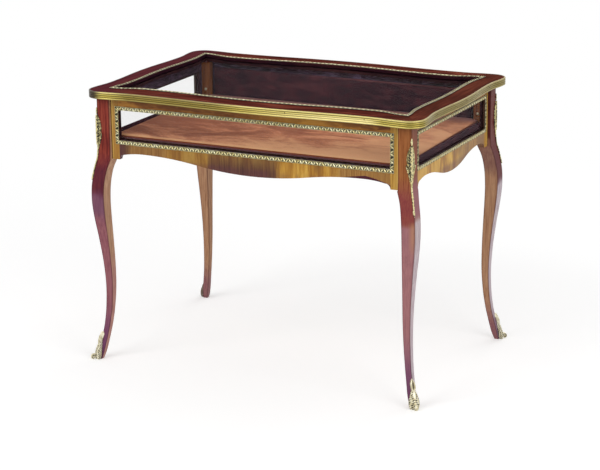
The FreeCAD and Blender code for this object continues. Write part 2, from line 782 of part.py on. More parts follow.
def edge_pin_holes():
    return [cylinder(pin_shank_radius + screw_clearance, start - inward * overcut, inward, pin_length + overcut)
            for start, inward in edge_pin_places()]


def edge_pins():
    pins = []
    for start, inward in edge_pin_places():
        seat = start - inward * pin_head_gap
        head = cylinder(pin_head_radius, seat, -inward, pin_head_height)
        shank = cylinder(pin_shank_radius, seat, inward, pin_length + pin_head_gap)
        pins.append(head.fuse(shank).removeSplitter())
    return group(pins)


# ---- hinges ----
def hinge_centres():
    offset = post_inner_x - hinge_inset
    return [-offset, offset]


def hinge_recesses(low, high):
    """Flat recesses that a pair of leaves lies in."""
    half = hinge_length / 2
    return [box(x - half, x + half, hinge_axis_y - hinge_leaf_width, hinge_axis_y, low, high)
            for x in hinge_centres()]


def knuckle_grooves():
    """Round grooves in the lid's underside that clear the knuckles."""
    half = hinge_length / 2 + knuckle_clearance
    radius = knuckle_radius + knuckle_clearance
    return [cylinder(radius, Vector(x - half, hinge_axis_y, hinge_axis_z), Vector(1, 0, 0), 2 * half)
            for x in hinge_centres()]


def hinge_screw_seats():
    return [(x + step * screw_spacing, hinge_axis_y - hinge_leaf_width * 0.6)
            for x in hinge_centres() for step in (-1, 0, 1)]


def hinge_screw(x, y, upward, grow):
    """Countersunk screw with its head flush in a leaf; upward is 1 in the lid and -1 in the case."""
    seat = lid_bottom if upward > 0 else case_top
    direction = Vector(0, 0, upward)
    start = Vector(x, y, seat)
    head = Part.makeCone(screw_head_radius + grow, screw_shank_radius + grow, screw_head_height, start, direction)
    return head.fuse(cylinder(screw_shank_radius + grow, start, direction, screw_length)).removeSplitter()


def hinge_screws(upward):
    return group([hinge_screw(x, y, upward, 0.0) for x, y in hinge_screw_seats()])


def hinge_screw_holes(upward):
    return [hinge_screw(x, y, upward, screw_clearance) for x, y in hinge_screw_seats()]


def hinge_leaf(x, upward):
    """A leaf with its own knuckles: the outer two on the case, the middle one on the lid."""
    half, middle = hinge_length / 2, hinge_middle_knuckle / 2
    seat = lid_bottom if upward > 0 else case_top
    low, high = sorted((seat, seat + upward * hinge_leaf_thickness))
    plate = box(x - half, x + half, hinge_axis_y - hinge_leaf_width, hinge_axis_y, low, high)
    own = [(-middle + knuckle_end_gap, middle - knuckle_end_gap)] if upward > 0 else \
        [(-half, -middle - knuckle_end_gap), (middle + knuckle_end_gap, half)]
    other = [(-half - overcut, -middle + knuckle_end_gap), (middle - knuckle_end_gap, half + overcut)] \
        if upward > 0 else [(-middle - knuckle_end_gap, middle + knuckle_end_gap)]
    room = knuckle_radius + knuckle_clearance
    for start, end in other:
        plate = plate.cut(box(x + start, x + end, hinge_axis_y - room, hinge_axis_y + room, low - overcut,
                              high + overcut))
    for start, end in own:
        barrel = cylinder(knuckle_radius, Vector(x + start, hinge_axis_y, hinge_axis_z), Vector(1, 0, 0),
                          end - start)
        plate = plate.fuse(barrel)
    bore = cylinder(hinge_pin_radius + hinge_pin_clearance, Vector(x - half - overcut, hinge_axis_y, hinge_axis_z),
                    Vector(1, 0, 0), hinge_length + 2 * overcut)
    plate = plate.cut(bore)
    for tool in hinge_screw_holes(upward):
        plate = plate.cut(tool)
    return plate.removeSplitter()


def hinge_leaves(upward):
    return group([hinge_leaf(x, upward) for x in hinge_centres()])


def hinge_pins():
    half = hinge_length / 2
    return group([cylinder(hinge_pin_radius, Vector(x - half, hinge_axis_y, hinge_axis_z), Vector(1, 0, 0),
                           hinge_length) for x in hinge_centres()])


# ---- the whole table ----
def all_parts():
    parts = {}
    for name, corner in corners.items():
        parts["leg_" + name] = leg(corner)
        parts["knee_mount_" + name] = knee_mount(corner)
        parts["sabot_" + name] = sabot(corner)
    for side in wall_turns:
        parts["stiles_" + side] = stiles(side)
        parts["top_rail_" + side] = top_rail(side)
        parts["apron_" + side] = apron(side)
        parts["lid_rail_" + side] = lid_ring(side)
    for side in glazed_sides:
        parts["glass_" + side] = pane(side)
        parts["border_" + side] = border(side)
        parts["beads_" + side] = beads(side)
    parts["back_panel"] = pane("back")
    parts["back_lining"] = back_lining()
    parts["bottom_board"] = bottom_board_form()
    parts["corner_blocks"] = group([corner_block(corner) for corner in corners.values()])
    parts["block_screws"] = group([block_screw(corner) for corner in corners.values()])
    parts["board_bearers"] = board_bearers()
    parts["display_board"] = display_board()
    parts["display_velvet"] = display_velvet()
    parts["lid_keys"] = group([corner_key(corner) for corner in corners.values()])
    parts["lid_glass"] = lid_pane()
    parts["lid_beads"] = lid_beads()
    parts["lid_border"] = lid_border()
    ring = edge_ring()
    for side in wall_turns:
        parts["brass_edge_" + side] = edge_run(ring, side)
    parts["brass_edge_corners"] = edge_corners(ring)
    parts["edge_pins"] = edge_pins()
    parts["hinge_leaves_case"] = hinge_leaves(-1)
    parts["hinge_leaves_lid"] = hinge_leaves(1)
    parts["hinge_screws_case"] = hinge_screws(-1)
    parts["hinge_screws_lid"] = hinge_screws(1)
    parts["hinge_pins"] = hinge_pins()
    return parts


os.makedirs("parts", exist_ok=True)
for node, shape in all_parts().items():
    shape.exportStep(os.path.join("parts", node + ".step"))
    print(f"{node}: {len(shape.Solids)} solid(s), {shape.Volume / 1000:.1f} cm3, valid {shape.isValid()}")
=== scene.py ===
import bpy
import bmesh
import math
from mathutils import Matrix, Vector


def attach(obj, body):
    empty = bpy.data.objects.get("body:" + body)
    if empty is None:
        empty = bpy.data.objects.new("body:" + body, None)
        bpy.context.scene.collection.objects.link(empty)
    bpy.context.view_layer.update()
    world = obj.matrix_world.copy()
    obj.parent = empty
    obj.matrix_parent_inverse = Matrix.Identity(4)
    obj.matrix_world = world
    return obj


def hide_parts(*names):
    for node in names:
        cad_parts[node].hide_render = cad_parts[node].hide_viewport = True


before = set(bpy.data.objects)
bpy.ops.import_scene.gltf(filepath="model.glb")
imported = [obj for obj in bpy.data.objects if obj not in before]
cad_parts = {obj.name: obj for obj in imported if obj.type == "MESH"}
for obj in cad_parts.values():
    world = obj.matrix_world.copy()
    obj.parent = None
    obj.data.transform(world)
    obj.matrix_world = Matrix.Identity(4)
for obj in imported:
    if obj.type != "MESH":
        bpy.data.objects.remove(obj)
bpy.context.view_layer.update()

mm = 0.001
cornerSigns = {"front_left": (-1, -1), "front_right": (1, -1), "back_right": (1, 1), "back_left": (-1, 1)}
table = {
    "halfWidth": 461.0, "halfDepth": 293.5, "top": 739.5, "post": 38.0, "shoulder": 572.0,
    "windowLow": 625.0, "windowHigh": 708.5, "lidLow": 740.0, "lidHigh": 760.0, "lidShift": 5.0,
}


def paint(red, green, blue):  # display values 0-255 to the linear ones that sockets take
    def linear(value):
        value /= 255.0
        return value / 12.92 if value <= 0.04045 else ((value + 0.055) / 1.055) ** 2.4
    return (linear(red), linear(green), linear(blue), 1.0)


def paints(*colours):
    return tuple(paint(*colour) for colour in colours)


class Wire:  # one socket; arithmetic on it adds Math nodes
    def __init__(self, bench, socket):
        self.bench, self.socket = bench, socket

    def sum(self, operation, first, second):
        return self.bench.add("ShaderNodeMath", {"operation": operation}, {0: first, 1: second})

    def __add__(self, other):
        return self.sum("ADD", self, other)

    __radd__ = __add__

    def __sub__(self, other):
        return self.sum("SUBTRACT", self, other)

    def __rsub__(self, other):
        return self.sum("SUBTRACT", other, self)

    def __mul__(self, other):
        return self.sum("MULTIPLY", self, other)

    __rmul__ = __mul__

    def __truediv__(self, other):
        return self.sum("DIVIDE", self, other)

    def __gt__(self, other):
        return self.sum("GREATER_THAN", self, other)

    def __lt__(self, other):
        return self.sum("LESS_THAN", self, other)

    def absolute(self):
        return self.sum("ABSOLUTE", self, 0.0)

    def largest(self, other):
        return self.sum("MAXIMUM", self, other)


class Bench:  # a node tree with one way to add nodes
    def __init__(self, tree):
        self.tree = tree

    def add(self, kind, settings=None, sockets=None, out=0):
        node = self.tree.nodes.new(kind)
        for key, value in (settings or {}).items():
            if key == "stops":
                ramp = node.color_ramp
                while len(ramp.elements) < len(value):
                    ramp.elements.new(0.5)
                for element, (place, colour) in zip(ramp.elements, value):
                    element.position, element.color = place, colour
            else:
                setattr(node, key, value)
        for key, value in (sockets or {}).items():
            if isinstance(value, Wire):
                self.tree.links.new(value.socket, node.inputs[key])
            else:
                node.inputs[key].default_value = value
        return node if out is None else Wire(self, node.outputs[out])

    def mix(self, factor, first, second):
        return self.add("ShaderNodeMix", {"data_type": "RGBA"}, {0: factor, 6: first, 7: second}, 2)

    def ease(self, value, low, high, share=1.0):  # 0 up to low, then smoothly to the share at high
        return self.add("ShaderNodeMapRange", {"interpolation_type": "SMOOTHSTEP"},
                        {"Value": value, "From Min": low, "From Max": high, "To Min": 0.0, "To Max": share})

    def between(self, value, rise, risen, fall, fallen, share=1.0):  # 0 outside, the share inside
        return self.ease(value, rise, risen) * self.ease(value, fallen, fall, share)

    def patch(self, value, shape):  # (tone, low, high, share) to the mask and the tone of a layer
        tone, *reach = shape
        return (self.ease(value, *reach) if len(reach) < 4 else self.between(value, *reach)), tone

    def layers(self, colour, *coats):  # lays one tone after another over a colour, each by its mask
        for mask, tone in coats:
            colour = self.mix(mask, colour, tone)
        return colour

    def ramp(self, value, places, tones):
        return self.add("ShaderNodeValToRGB", {"stops": list(zip(places, tones))}, {0: value})

    def tint(self, value, tones):  # three tones over the middle of a noise's range
        return self.ramp(value, (0.3, 0.5, 0.7), tones)

    def cloud(self, place, scale, detail, rough=0.55, twist=0.0):
        return self.add("ShaderNodeTexNoise", {"noise_dimensions": "3D"},
                        {"Vector": place, "Scale": scale, "Detail": detail, "Roughness": rough,
                         "Distortion": twist})

    def stretched(self, place, scale, turn=0.0):
        return self.add("ShaderNodeMapping", {},
                        {"Vector": place, "Scale": scale, "Rotation": (0.0, 0.0, turn)})

    def split(self, place):
        node = self.add("ShaderNodeSeparateXYZ", {}, {"Vector": place}, None)
        return [Wire(self, socket) for socket in node.outputs]

    def own(self, name):  # a piece's own float attribute
        return self.add("ShaderNodeAttribute", {"attribute_name": name}, {}, "Fac")

    def bumped(self, height, strength, distance):
        return self.add("ShaderNodeBump", {}, {"Height": height, "Strength": strength, "Distance": distance})

    def onScreen(self):  # 1 for what the eye, a gloss or a pane sees, 0 for what only lights the object
        shown = self.add("ShaderNodeLightPath", {}, {}, None)
        eye, gloss, pane = (Wire(self, shown.outputs["Is %s Ray" % ray])
                            for ray in ("Camera", "Glossy", "Transmission"))
        return eye.largest(gloss).largest(pane)


def finish(name, build, constants):
    material = bpy.data.materials.new(name)
    material.use_nodes = True
    tree = material.node_tree
    tree.nodes.clear()
    bench = Bench(tree)
    spot = bench.add("ShaderNodeTexCoord", {}, {}, "Object")
    sockets = dict(constants)
    sockets.update(build(bench, spot))
    shader = bench.add("ShaderNodeBsdfPrincipled", {}, sockets)
    bench.add("ShaderNodeOutputMaterial", {}, {"Surface": shader}, None)
    return material


woodGrain = {  # stretch along the grain, scale, detail, roughness, twist
    "figure": (0.22, 24.0, 4.0, 0.55, 1.2), "streak": (0.035, 300.0, 4.0, 0.6, 0.35),
    "pore": (0.06, 1000.0, 2.0, 0.5), "blotch": (0.4, 120.0, 3.0, 0.6),
    "toneReach": (0.36, 0.64), "poreReach": (0.36, 0.27), "poreDepth": 0.5, "bumpDepth": 0.0004,
}


def grainCloud(bench, spot, axis, kind, size=1.0):
    stretch, scale, *others = woodGrain[kind]
    along = [1.0, 1.0, 1.0]
    along[axis] = stretch
    return bench.cloud(bench.stretched(spot, tuple(along)), scale * size, *others)


def woodBase(bench, spot, axis, tones, size, figure=0.6, pores=1.0):
    slow = grainCloud(bench, spot, axis, "figure")
    streak = grainCloud(bench, spot, axis, "streak", size)
    pore = grainCloud(bench, spot, axis, "pore", size)
    tone = bench.ease(slow * figure + streak * (1.0 - figure), *woodGrain["toneReach"])
    flecks = bench.ease(pore, *woodGrain["poreReach"], woodGrain["poreDepth"] * pores)
    return bench.ramp(tone, (0.0, 0.5, 1.0), tones), streak, flecks


def woodSurface(bench, colour, streak, flecks, rough, spread, relief):
    return {"Base Color": colour, "Roughness": rough + streak * spread,
            "Normal": bench.bumped(streak + flecks * -1.0, relief, woodGrain["bumpDepth"])}


legTones = {
    "upper": paints((98, 34, 32), (136, 54, 44), (156, 74, 56)),
    "upperGold": paints((120, 66, 34), (158, 96, 54), (178, 118, 68)),
    "upperBack": paints((74, 30, 32), (98, 46, 44), (116, 60, 52)),
    "lower": paints((122, 68, 80), (152, 94, 102), (168, 112, 116)),
    "inner": paints((150, 98, 92), (186, 134, 124), (206, 158, 142)),
    "innerHigh": paints((156, 112, 84), (192, 148, 118), (212, 172, 138)),
    "innerBack": paints((148, 102, 74), (184, 138, 106), (202, 160, 124)),
    # flank, flankHigh and flankKnee are painted light on the outer right faces of the right legs: a pale
    # painted reflection below the knee, painted shade above it and a painted highlight by the front right
    # knee
    "flank": paints((164, 146, 158), (200, 186, 192), (220, 212, 214)),
    "knee": paint(76, 31, 54), "kneeLead": paint(132, 52, 68), "below": paint(104, 70, 100),
    "lowerLead": paint(190, 140, 136), "tanLine": paint(190, 138, 92), "arris": paint(66, 34, 40),
    "flankHigh": paint(112, 54, 48), "flankKnee": paint(160, 116, 126), "pore": paint(58, 26, 26),
}
legZones = {  # where a tone comes in, in metres, with the share it reaches
    "below": (0.508, 0.486), "knee": (0.486, 0.508, 0.55, 0.62), "shadow": (0.40, 0.46, 0.492, 0.512),
    "tanLine": (0.456, 0.472, 0.5), "wearAndSheenFade": (0.13, 0.07, 0.6), "innerHigh": (0.24, 0.36),
    "foot": (paint(106, 60, 102), 0.22, 0.06, 0.8), "backFoot": (paint(132, 78, 102), 0.17, 0.06, 0.7),
    "wander": 0.05, "leadDrop": 0.019, "flankDrop": 0.012,  # how the edges of the zones stray and sink
    "backKnee": (paint(122, 82, 84), 0.50, 0.55, 0.6), "backTop": (0.585, 0.6),
}
legShares = {  # how far each tone covers the ones below it
    "lowerLead": 0.4, "knee": 0.7, "shadow": 0.6, "shadowLead": 0.48, "flank": 0.86, "flankHigh": 0.6,
    "arris": 0.45,
}


def buildLegVeneer(bench, spot):
    x, y, z = bench.split(spot)
    upper, streak, flecks = woodBase(bench, spot, 2, legTones["upper"], 1.0, 0.5)

    def tone(name):
        return bench.tint(streak, legTones[name])
    front, right = bench.ease(y, 0.2, -0.2), bench.ease(x, -0.2, 0.2)
    lead = right * front  # 1 on the front right leg
    flank = bench.own("flank") * right
    stray = bench.cloud(spot, 14.0, 2.0) * legZones["wander"]
    height = z + stray - lead * legZones["leadDrop"] - lead * flank * legZones["flankDrop"]
    upper = bench.layers(upper, (lead, tone("upperGold")), (right * (1 - front), tone("upperBack")))
    lower = bench.layers(tone("lower"), (lead * legShares["lowerLead"], legTones["lowerLead"]),
                         bench.patch(height, legZones["foot"]))
    below = bench.ease(height, *legZones["below"])
    knee = bench.between(height, *legZones["knee"])
    shadow = bench.between(height, *legZones["shadow"])
    # the painted pale reflection fades out low on the back right leg
    wearAndSheenFade = (1 - front) * bench.ease(height, *legZones["wearAndSheenFade"])
    colour = bench.layers(
        bench.mix(below, upper, lower),
        (knee * legShares["knee"], bench.mix(lead, legTones["knee"], legTones["kneeLead"])),
        (shadow * (legShares["shadow"] - lead * legShares["shadowLead"]), legTones["below"]),
        (shadow * lead * bench.ease(x, *legZones["tanLine"]), legTones["tanLine"]),
        # painted light on the outer right faces: a pale painted reflection below the change, painted shade
        # above it, a painted highlight at the front right knee
        (flank * below * (legShares["flank"] - wearAndSheenFade), tone("flank")),
        (flank * (1 - below) * legShares["flankHigh"],
         bench.mix(lead * knee, legTones["flankHigh"], legTones["flankKnee"])))
    inner = bench.mix(bench.ease(height, *legZones["innerHigh"]), tone("inner"), tone("innerHigh"))
    back = bench.layers(tone("innerBack"), bench.patch(height, legZones["backFoot"]),
                        bench.patch(height, legZones["backKnee"]),
                        (bench.ease(z, *legZones["backTop"]), tone("upperBack")))
    colour = bench.layers(colour, (bench.own("innerFace"), bench.mix(1 - front, inner, back)),
                          (bench.own("arris") * legShares["arris"], legTones["arris"]),
                          (flecks, legTones["pore"]))
    return woodSurface(bench, colour, streak, flecks, 0.32, 0.12, 0.12)


lidWood = {
    "tones": paints((68, 22, 18), (103, 43, 33), (132, 65, 48)), "pore": paint(38, 10, 12),
    "left": (paint(86, 34, 48), -0.34, -0.45, 0.7), "right": (paint(88, 48, 32), 0.34, 0.46, 0.45),
    "hidden": (paint(36, 20, 32), 0.7598, 0.7592, 0.9),  # the opening's reveal and the underside are darker
}


def buildLidWood(axis):
    def build(bench, spot):
        x, _, z = bench.split(spot)
        colour, streak, flecks = woodBase(bench, spot, axis, lidWood["tones"], 0.8)
        colour = bench.layers(colour, bench.patch(x, lidWood["left"]), bench.patch(x, lidWood["right"]),
                              (flecks, lidWood["pore"]), bench.patch(z, lidWood["hidden"]))
        return woodSurface(bench, colour, streak, flecks, 0.3, 0.12, 0.08)
    return build


caseInside = {  # metres; long is the front and back walls, cross the side walls
    "window": {"long": 0.3993, "cross": 0.2318}, "face": {"long": 0.2845, "cross": 0.452},
    "sill": 0.6247, "head": 0.7088, "low": 0.6095, "high": 0.737, "room": (0.4386, 0.2711, 0.6078),
    # the lining's lightest tone is painted reflection, in streaks over the dark plum cloth
    "lining": paints((24, 14, 28), (52, 37, 54), (98, 80, 106)), "reveal": paint(64, 40, 34),
}


def lineInside(bench, spot, colour, axis):  # cloth on the faces that look into the case, a darker brown in the window
    shape, run = caseInside, "cross" if axis else "long"
    x, y, z = bench.split(spot)
    along, through = (y, x) if axis else (x, y)
    inWindow = (along.absolute() < shape["window"][run]) * (z > shape["sill"]) * (z < shape["head"])
    behind = (through.absolute() < shape["face"][run]) * (z > shape["low"]) * (z < shape["high"])
    roomX, roomY, roomLow = shape["room"]
    inside = (x.absolute() < roomX) * (y.absolute() < roomY) * (z > roomLow)
    drawn = bench.cloud(bench.stretched(spot, (0.5, 0.5, 1.6)), 90.0, 5.0, 0.7, 0.6)
    return bench.layers(colour, (inWindow.largest(behind), shape["reveal"]),
                        (inside, bench.tint(drawn, shape["lining"])))


def linedWood(bench, spot, axis, colour, streak, flecks):
    return woodSurface(bench, lineInside(bench, spot, colour, axis), streak, flecks, 0.3, 0.15, 0.1)


panelWood = {  # places along the wall in metres from its middle, or heights
    "gold": paints((160, 108, 38), (196, 146, 58), (216, 172, 80)),
    "tan": paints((124, 82, 42), (152, 108, 58), (172, 130, 74)),
    "dark": paints((62, 32, 32), (92, 58, 44), (116, 78, 50)), "pore": paint(66, 38, 20),
    "tanRight": (0.21, 0.27, 0.85), "tanLeft": (-0.23, -0.27, 0.85), "heart": (-0.150, -0.110, 0.058, 0.088),
    "heartLow": (0.622, 0.575, 0.3), "end": (-0.352, -0.376, 0.85), "left": (-0.09, -0.15),
    "leftDeep": (-0.27, -0.21, 0.16), "tanCross": (0.0, 0.12, 0.8), "darkCross": (0.15, 0.2, 0.35),
    "blotch": (0.54, 0.68, 0.4), "endDark": (paint(84, 46, 50), -0.362, -0.388, 0.75),
    "edge": (paint(96, 52, 62), 0.592, 0.576, 0.45), "edgePatch": (0.35, 0.55),
    "sliver": paint(74, 22, 36), "sliverAt": 0.325, "sliverMiddle": 0.004, "sliverHigh": 0.0092, "sliverFall": 0.13,
    "arch": 0.592, "archBow": (0.508, 1.142),
}


def darkSliver(bench, along, z):  # a dark sliver along the lower edge at the right end, measured up from the arch
    reach = along - panelWood["sliverAt"]
    inner, outer = panelWood["archBow"]
    bow = reach * reach * (inner + (reach > 0.0) * outer)
    sliver = panelWood["sliverHigh"] - (reach - panelWood["sliverMiddle"]).absolute() * panelWood["sliverFall"]
    return bench.ease(sliver - (z - panelWood["arch"]) - bow, 0.0, 0.001)


def buildPanel(axis):  # axis runs along the wall; the grain stands upright
    def build(bench, spot):
        parts = bench.split(spot)
        along, z = parts[axis], parts[2]
        leaf = bench.cloud(bench.stretched(spot, (1.0, 1.0, 0.3)), 11.0, 3.0, 0.55, 0.8)
        colour, streak, flecks = woodBase(bench, spot, 2, panelWood["gold"], 0.9, 0.8)
        wander = along + (leaf - 0.5) * 0.07

        def zone(name, value=wander):
            return bench.ease(value, *panelWood[name])
        if axis == 0:
            tan = zone("tanRight").largest(zone("tanLeft"))
            heart = bench.between(wander, *panelWood["heart"]) * (0.7 + zone("heartLow", z))
            shade = heart.largest(zone("end")).largest(zone("left") * (0.26 + zone("leftDeep")))
        else:
            tan, shade = zone("tanCross"), zone("darkCross")
        colour = bench.layers(colour, (tan, bench.tint(streak, panelWood["tan"])),
                              (shade.largest(zone("blotch", leaf)), bench.tint(streak, panelWood["dark"])))
        if axis == 0:
            colour = bench.layers(colour, bench.patch(wander, panelWood["endDark"]))
        mask, tone = bench.patch(z, panelWood["edge"])
        colour = bench.mix(mask * zone("edgePatch", leaf), colour, tone)
        if axis == 0:
            colour = bench.mix(darkSliver(bench, along, z), colour, panelWood["sliver"])
        return linedWood(bench, spot, axis, bench.mix(flecks, colour, panelWood["pore"]), streak, flecks)
    return build


railWood = {
    "tones": paints((110, 60, 22), (150, 94, 36), (188, 130, 52)), "pore": paint(66, 30, 16),
    "bright": (paint(184, 122, 52), 0.52, 0.66, 0.45), "dark": (paint(98, 42, 24), 0.46, 0.34, 0.45),
    "dim": (paint(104, 58, 24), 0.0, -0.12, -0.28, -0.42, 0.4),
    "lit": (paint(200, 144, 52), -0.04, 0.1, 0.12, 0.42, 0.42),
}


def buildRail(axis):  # the rail over the windows; the grain lies along it
    def build(bench, spot):
        along = bench.split(spot)[axis]
        colour, streak, flecks = woodBase(bench, spot, axis, railWood["tones"], 0.8, 0.75)
        blotch = grainCloud(bench, spot, axis, "blotch")
        patches = [bench.patch(value, railWood[name]) for value, name in
                   ((blotch, "bright"), (blotch, "dark"), (along, "dim"), (along, "lit"))]
        colour = bench.layers(colour, *patches, (flecks, railWood["pore"]))
        return linedWood(bench, spot, axis, colour, streak, flecks)
    return build


stileWood = {  # places of the string and the line are measured from where the post begins
    "tones": paints((146, 96, 36), (182, 134, 54), (206, 162, 78)), "pore": paint(96, 58, 26),
    "left": (paint(138, 82, 36), 0.1, -0.1, 0.4),
    "string": (paint(226, 190, 100), -0.0068, -0.0058, -0.0034, -0.0024, 0.65),
    # the dark line stands for the joint and the painted shade where the proud post meets the stile
    "line": (paint(44, 24, 18), -0.0022, -0.0012, 0.9), "post": (0.423, 0.2555),
}


def buildStile(axis):
    def build(bench, spot):
        along = bench.split(spot)[axis]
        inward = along.absolute() - stileWood["post"][axis]
        colour, streak, flecks = woodBase(bench, spot, 2, stileWood["tones"], 1.0, 0.4, 0.8)
        colour = bench.layers(
            colour, bench.patch(along, stileWood["left"]), bench.patch(inward, stileWood["string"]),
            (flecks, stileWood["pore"]), bench.patch(inward, stileWood["line"]))
        return linedWood(bench, spot, axis, colour, streak, flecks)
    return build


plainTones = {
    "dark": paints((32, 18, 24), (50, 28, 34), (68, 40, 42)),
    "block": paints((84, 44, 26), (122, 70, 38), (150, 94, 52)),
    "plain": paints((96, 66, 44), (132, 94, 64), (156, 116, 80)),
    "floorCloth": paints((84, 58, 80), (112, 84, 104), (138, 108, 126)), "floorTop": 0.6075,
}


def buildPlain(axis, kind):
    def build(bench, spot):
        tones = plainTones[kind]
        colour, streak, flecks = woodBase(bench, spot, axis, tones, 0.7)
        return woodSurface(bench, bench.mix(flecks, colour, tones[0]), streak, flecks, 0.45, 0.15, 0.2)
    return build


def buildFloorBoard(bench, spot):  # plain wood below, cloth on top
    plain = buildPlain(0, "plain")(bench, spot)
    cloth = bench.tint(bench.cloud(spot, 70.0, 4.0, 0.6), plainTones["floorCloth"])
    plain["Base Color"] = bench.mix(bench.split(spot)[2] > plainTones["floorTop"], plain["Base Color"], cloth)
    return plain


gilt = {  # a light tone, a duller one and the painted shade of the recesses
    "mount": paints((242, 235, 208), (206, 195, 156), (48, 42, 32)),
    "border": paints((255, 250, 208), (242, 226, 156), (44, 42, 20)),
    "lidBorder": paints((240, 232, 190), (202, 190, 136), (40, 32, 26)),
    "sideFrame": (paint(116, 102, 70), 0.448, 0.4525, 0.6), "knee": paint(228, 212, 130),
    "kneeAt": (0.30, 0.40), "chase": 3.4, "chaseLevel": 0.46, "wearAndSheenFade": paint(104, 68, 62),
}


def buildGilt(kind):
    def build(bench, spot):
        x, y, z = bench.split(spot)
        light, dull, dark = gilt[kind]
        tarnish = bench.cloud(spot, 110.0, 3.0, 0.6)
        # the recess mark is painted shade in the hollows, stirred by tarnish; on the knees chasing adds dark
        # grains to it
        shadeAndChasing = bench.own("recess") + (tarnish - 0.5) * 0.25
        bright = bench.mix(bench.ease(tarnish, 0.4, 0.62), light, dull)
        if kind == "mount":  # the knees are yellower and chased deeper; the back left foot is worn bare
            knee = bench.ease(z, *gilt["kneeAt"])
            chased = bench.cloud(spot, 260.0, 2.0, 0.6) - gilt["chaseLevel"]
            shadeAndChasing = shadeAndChasing + knee * chased * gilt["chase"]
            wearAndSheenFade = bench.ease(x, -0.40, -0.42) * bench.ease(y, 0.24, 0.26) * bench.ease(z, 0.14, 0.11)
            bright = bench.layers(bright, (knee * 0.6, gilt["knee"]), (wearAndSheenFade * 0.8, gilt["wearAndSheenFade"]))
        if kind == "border":  # painted shade: the side frames are darker
            bright = bench.layers(bright, bench.patch(x.absolute(), gilt["sideFrame"]))
        recess = bench.ease(shadeAndChasing, 0.3, 0.85)
        return {"Base Color": bench.mix(recess, bright, dark), "Metallic": 0.45 - recess * 0.4,
                "Roughness": 0.3 + recess * 0.35,
                "Normal": bench.bumped(bench.cloud(spot, 1400.0, 2.0), 0.10, 0.0003)}
    return build


brass = {
    "bandPlaces": (0.0, 0.12, 0.22, 0.26, 0.38, 0.46, 0.51, 0.62, 0.72, 0.76, 0.88, 1.0),
    "bands": paints((84, 72, 38), (216, 200, 120), (176, 158, 80), (70, 60, 28), (180, 164, 84),
                    (164, 146, 68), (64, 56, 24), (186, 170, 92), (166, 150, 76), (68, 58, 28),
                    (212, 198, 128), (172, 156, 94)),
    "tarnish": (paint(150, 134, 62), 0.50, 0.68, 0.45), "bandStray": 0.0008,
    "dull": (paint(92, 76, 42), 0.0, -0.1, -0.36, -0.42, 0.58), "paintedHighlightAt": (0.7545, 0.7525),
    "paintedHighlight": (paint(248, 234, 172), -0.05, 0.30, 0.34, 0.39, 0.5), "side": paint(98, 84, 48),
    "leftEnd": (paint(54, 46, 50), -0.43, -0.46, 0.88), "front": (-0.24, -0.30), "sideShare": 0.55,
}


def buildBrass(bench, spot):
    x, y, z = bench.split(spot)
    tarnish = bench.cloud(bench.stretched(spot, (0.35, 0.35, 1.0)), 46.0, 4.0, 0.6)
    low, high = table["lidLow"] * mm, table["lidHigh"] * mm
    upwards = (z - low + (tarnish - 0.5) * brass["bandStray"]) / (high - low)
    # the bands are painted highlights on the reeds and painted shade in the grooves between them
    bands = bench.ramp(upwards, brass["bandPlaces"], brass["bands"])
    front = bench.ease(y, *brass["front"])
    # a painted highlight along the top of the front, right of the middle
    paintedHighlight, paintedHighlightTone = bench.patch(x, brass["paintedHighlight"])
    colour = bench.layers(
        # the dull patch is painted shade over the left part of the edge
        bands, bench.patch(tarnish, brass["tarnish"]), bench.patch(x, brass["dull"]),
        (paintedHighlight * bench.ease(z, *brass["paintedHighlightAt"]) * front, paintedHighlightTone),
        # painted shade on the sides and the back of the edge
        ((1 - front) * brass["sideShare"], brass["side"]),
        # a painted dark reflection at the far left end
        bench.patch(x, brass["leftEnd"]))
    return {"Base Color": colour, "Roughness": 0.24 + tarnish * 0.2}


def buildFitting(light, dark):
    def build(bench, spot):
        tarnish = bench.cloud(spot, 120.0, 3.0, 0.6)
        return {"Base Color": bench.mix(bench.ease(tarnish, 0.35, 0.65), paint(*light), paint(*dark)),
                "Roughness": 0.3 + tarnish * 0.25}
    return build


def buildGlass(clear, edgeOn):
    def build(bench, spot):
        edge = bench.add("ShaderNodeLayerWeight", {}, {"Blend": 0.25}, "Facing")
        smear = bench.cloud(spot, 6.0, 2.0)
        return {"Base Color": bench.mix(smear, paint(14, 20, 20), paint(26, 32, 32)),
                "Alpha": clear + edge * edgeOn, "Roughness": 0.02 + smear * 0.02}
    return build


boardShape = {"halfX": 424.0, "front": -260.0, "back": 262.5, "notchX": 412.0, "notchY": 250.5, "low": 636.0,
              "rise": 8.0, "thick": 11.0, "round": 3.0, "crown": 0.8, "pitch": 12.0}
roseVelvet = {
    "tones": paints((146, 80, 54), (204, 130, 92), (238, 174, 126)), "toneReach": (0.36, 0.66),
    "shares": (0.54, 0.16, 0.22, 0.08),  # brushed, wisp, fine and nap
    "litRight": (-0.35, 0.65, 0.24), "litFront": (-0.15, -0.245, 0.09), "litLevel": 0.12, "lean": 0.9,
    "back": (paint(116, 74, 82), 0.19, 0.25, 0.75), "frontEdge": (paint(240, 186, 136), -0.246, -0.254, 0.6),
    "side": (paint(140, 72, 52), 0.0018, 0.0028), "sideLow": (paint(120, 80, 82), 0.0056, 0.0068),
}
plumVelvet = {
    "tones": paints((40, 20, 32), (60, 32, 42), (84, 44, 52)), "toneReach": (0.38, 0.64),
    "shares": (0.6, 0.25, 0.15),  # brushed, broad and nap
    "rim": (paint(130, 80, 80), 0.7205, 0.7225, 0.5), "rimRight": (-0.15, 0.1),
}


def napped(bench, colour, nap):
    return {"Base Color": colour, "Roughness": 0.85 + nap * 0.1, "Normal": bench.bumped(nap, 0.35, 0.0006)}


